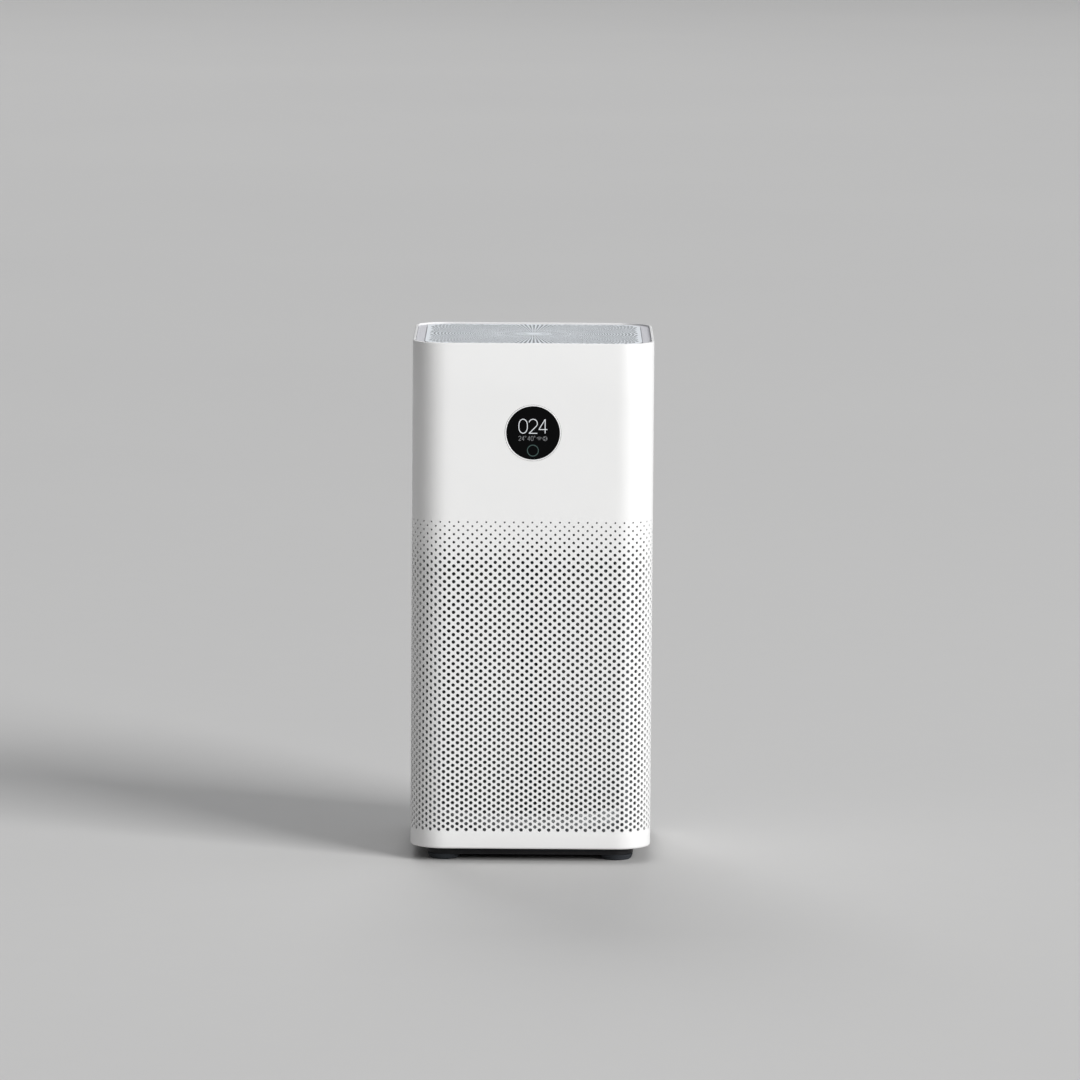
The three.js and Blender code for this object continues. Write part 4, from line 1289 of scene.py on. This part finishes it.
def outer_net():
    """The prefilter: a moulded lattice of upright strands and hoops, stiffened by wider ribs."""
    radius = 95.6 * MM
    strands = []
    for k in range(UPRIGHTS):
        a = 2 * math.pi * k / UPRIGHTS
        wide = (1.3 if k % RIB_EVERY == 0 else 0.4) * MM
        out, across = Vector((math.cos(a), math.sin(a))), Vector((-math.sin(a), math.cos(a)))
        low, high = out * (radius - 0.3 * MM), out * (radius + 0.3 * MM)
        strands.append([tuple(low - across * wide), tuple(high - across * wide),
                        tuple(high + across * wide), tuple(low + across * wide)])
    made = face_outwards(prism("prefilter_strands", strands, MEDIA_LOW, MEDIA_HIGH))
    finished(made, "filter", "net", "filter_net")
    points, quads = [], []
    sides, thick = ROUND_SIDES, 0.35 * MM
    for k in range(HOOPS):
        z = MEDIA_LOW + (MEDIA_HIGH - MEDIA_LOW) * (k + 0.5) / HOOPS
        first = len(points)
        section = ((-thick, -thick), (thick, -thick), (thick, thick), (-thick, thick))
        for dr, dz in section:
            points += [(x, y, z + dz) for x, y in circle(radius + dr, sides)]
        for j in range(4):
            quads += band(first + j * sides, first + (j + 1) % 4 * sides, sides)
    hoop = face_outwards(mesh_object("prefilter_hoops", points, [], quads))
    finished(hoop, "filter", "net", "filter_net")


def seal():
    low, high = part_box("filter_seal")
    section = ring_profile(64 * MM, 74 * MM, low.z, high.z, 1.1 * MM)
    made = turned("foam_seal_ring", section, CARTRIDGE_SIDES)
    finished(made, "filter", "foam", "filter_seal")


def pull_tab():
    """The ribbon, which is sewn flat at both ends and bows a little between them."""
    low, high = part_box("filter_pull_tab")
    middle, half, thick = (low.y + high.y) / 2, high.x, 0.7 * MM
    count, across = 24, 8
    points, quads = [], []
    for k in range(count + 1):
        z = low.z + (high.z - low.z) * k / count
        sway = 0.35 * MM * math.sin(math.pi * k / count * 1.3)
        edge = half - 0.5 * MM * (1 - min(1.0, k / 2)) ** 2
        for side in (-1, 1):
            for j in range(across + 1):
                x = edge * (2 * j / across - 1)
                bow = 0.12 * MM * math.cos(math.pi * x / half / 2)
                points.append((x, middle + sway + bow + side * thick / 2, z))
    wide = across + 1
    layer = 2 * wide
    for k in range(count):
        a, b = k * layer, (k + 1) * layer
        for j in range(across):
            quads.append((a + j, a + j + 1, b + j + 1, b + j))
            quads.append((a + wide + j + 1, a + wide + j, b + wide + j, b + wide + j + 1))
        quads.append((a, b, b + wide, a + wide))
        quads.append((a + across, a + wide + across, b + wide + across, b + across))
    for a in (0, count * layer):
        quads += [(a + j, a + j + 1, a + wide + j + 1, a + wide + j) for j in range(across)]
    tab = face_outwards(mesh_object("pull_ribbon", points, [], quads, sharp=50))
    finished(tab, "filter", "strap", "filter_pull_tab")


# ---------------------------------------------------------------- pieces carried over from the CAD model
def facet_smoothing():
    """Nodes that weld a mesh and shade it smooth, except over its sharp edges."""
    group = bpy.data.node_groups.new("facet_smoothing", "GeometryNodeTree")
    for way in ("INPUT", "OUTPUT"):
        group.interface.new_socket("Geometry", in_out=way, socket_type="NodeSocketGeometry")
    made = {}
    chain = (("start", "NodeGroupInput"), ("weld", "GeometryNodeMergeByDistance"),
             ("bare", "GeometryNodeRemoveAttribute"), ("faces", "GeometryNodeSetShadeSmooth"),
             ("edges", "GeometryNodeSetShadeSmooth"), ("end", "NodeGroupOutput"))
    for key, kind in chain:
        made[key] = group.nodes.new(kind)
    made["weld"].inputs["Distance"].default_value = CLOSE
    made["bare"].inputs["Name"].default_value = "custom_normal"
    made["edges"].domain = "EDGE"
    angle = group.nodes.new("GeometryNodeInputMeshEdgeAngle")
    low = group.nodes.new("FunctionNodeCompare")
    low.operation = "LESS_THAN"
    low.inputs["B"].default_value = math.radians(SHARP_ANGLE)
    group.links.new(angle.outputs["Unsigned Angle"], low.inputs["A"])
    group.links.new(low.outputs["Result"], made["edges"].inputs["Shade Smooth"])
    keys = [key for key, _ in chain]
    for before, after in zip(keys, keys[1:]):
        group.links.new(made[before].outputs["Geometry"], made[after].inputs["Geometry"])
    return group


EDGE_WIDTHS = {
    "base_pan": 0.8, "lower_deck": 0.4, "upper_deck": 0.5, "power_inlet": 0.5, "door_latch": 0.5,
    "sensor_cover": 0.45, "impeller": 0.3, "guide_vanes": 0.3, "finger_guard": 0.3, "supply_transformer": 0.6,
}
PLAIN_EDGE = 0.25


def carried_over():
    """Gives every CAD node that still shows its material, welded facets and softened edges."""
    group = facet_smoothing()
    slots = {part["node"]: part["material_slot"] for part in frame["record"]["subparts"]}
    for node, thing in frame["nodes"].items():
        if thing.hide_render:
            continue
        thing.data.materials.clear()
        thing.data.materials.append(FINISHES[slots[node]].material)
        thing.modifiers.new("facets", "NODES").node_group = group
        soften(thing, EDGE_WIDTHS.get(node, PLAIN_EDGE) * MM)


# ---------------------------------------------------------------- floor, light and camera
def floor():
    """A square floor, so wide that its edges stay out of view."""
    size, thick = 40, 0.02
    made = prism("floor", [[(-size, -size), (size, -size), (size, size), (-size, size)]], -thick, 0)
    made.data.materials.append(pale_floor("floor").material)


def area_light(name, place, aim, size, power, colour=(1, 1, 1)):
    light = bpy.data.lights.new(name, "AREA")
    light.shape = "RECTANGLE"
    light.size, light.size_y = size
    light.energy = power
    light.color = colour
    made = link(bpy.data.objects.new(name, light))
    made.location = place
    made.rotation_mode = "QUATERNION"
    made.rotation_quaternion = (Vector(aim) - Vector(place)).to_track_quat("-Z", "Y")


def studio():
    """A broad key from the front right, a weak fill from the left, and pale surroundings. The lights are
    large and far off, so that the floor is evenly lit."""
    area_light("key", (20, -17, 12), (0, 0, 0.3), (14, 14), 9000)
    area_light("fill", (-20, -22, 8), (0, 0, 0.3), (10, 10), 350, (1.0, 0.93, 0.87))
    area_light("overhead", (1, 4, 22), (0, 0, 0.2), (16, 16), 450, (0.92, 0.96, 1.0))
    area_light("behind", (-3, 20, 17), (0, 0, 0.3), (12, 12), 1900)
    world = bpy.data.worlds.new("studio")
    bpy.context.scene.world = world
    world.use_nodes = True
    background = world.node_tree.nodes["Background"]
    background.inputs["Color"].default_value = (0.75, 0.76, 0.78, 1)
    background.inputs["Strength"].default_value = 0.24


def main():
    make_camera()
    casing_front()
    casing_side(1)
    casing_side(-1)
    casing_rear()
    door_skin()
    door_fittings()
    spring()
    top_frame()
    top_grille()
    display()
    feet()
    back_button()
    filter_caps()
    pleats()
    outer_net()
    seal()
    pull_tab()
    carried_over()
    floor()
    studio()
    bpy.context.scene.view_settings.view_transform = "Standard"


main()
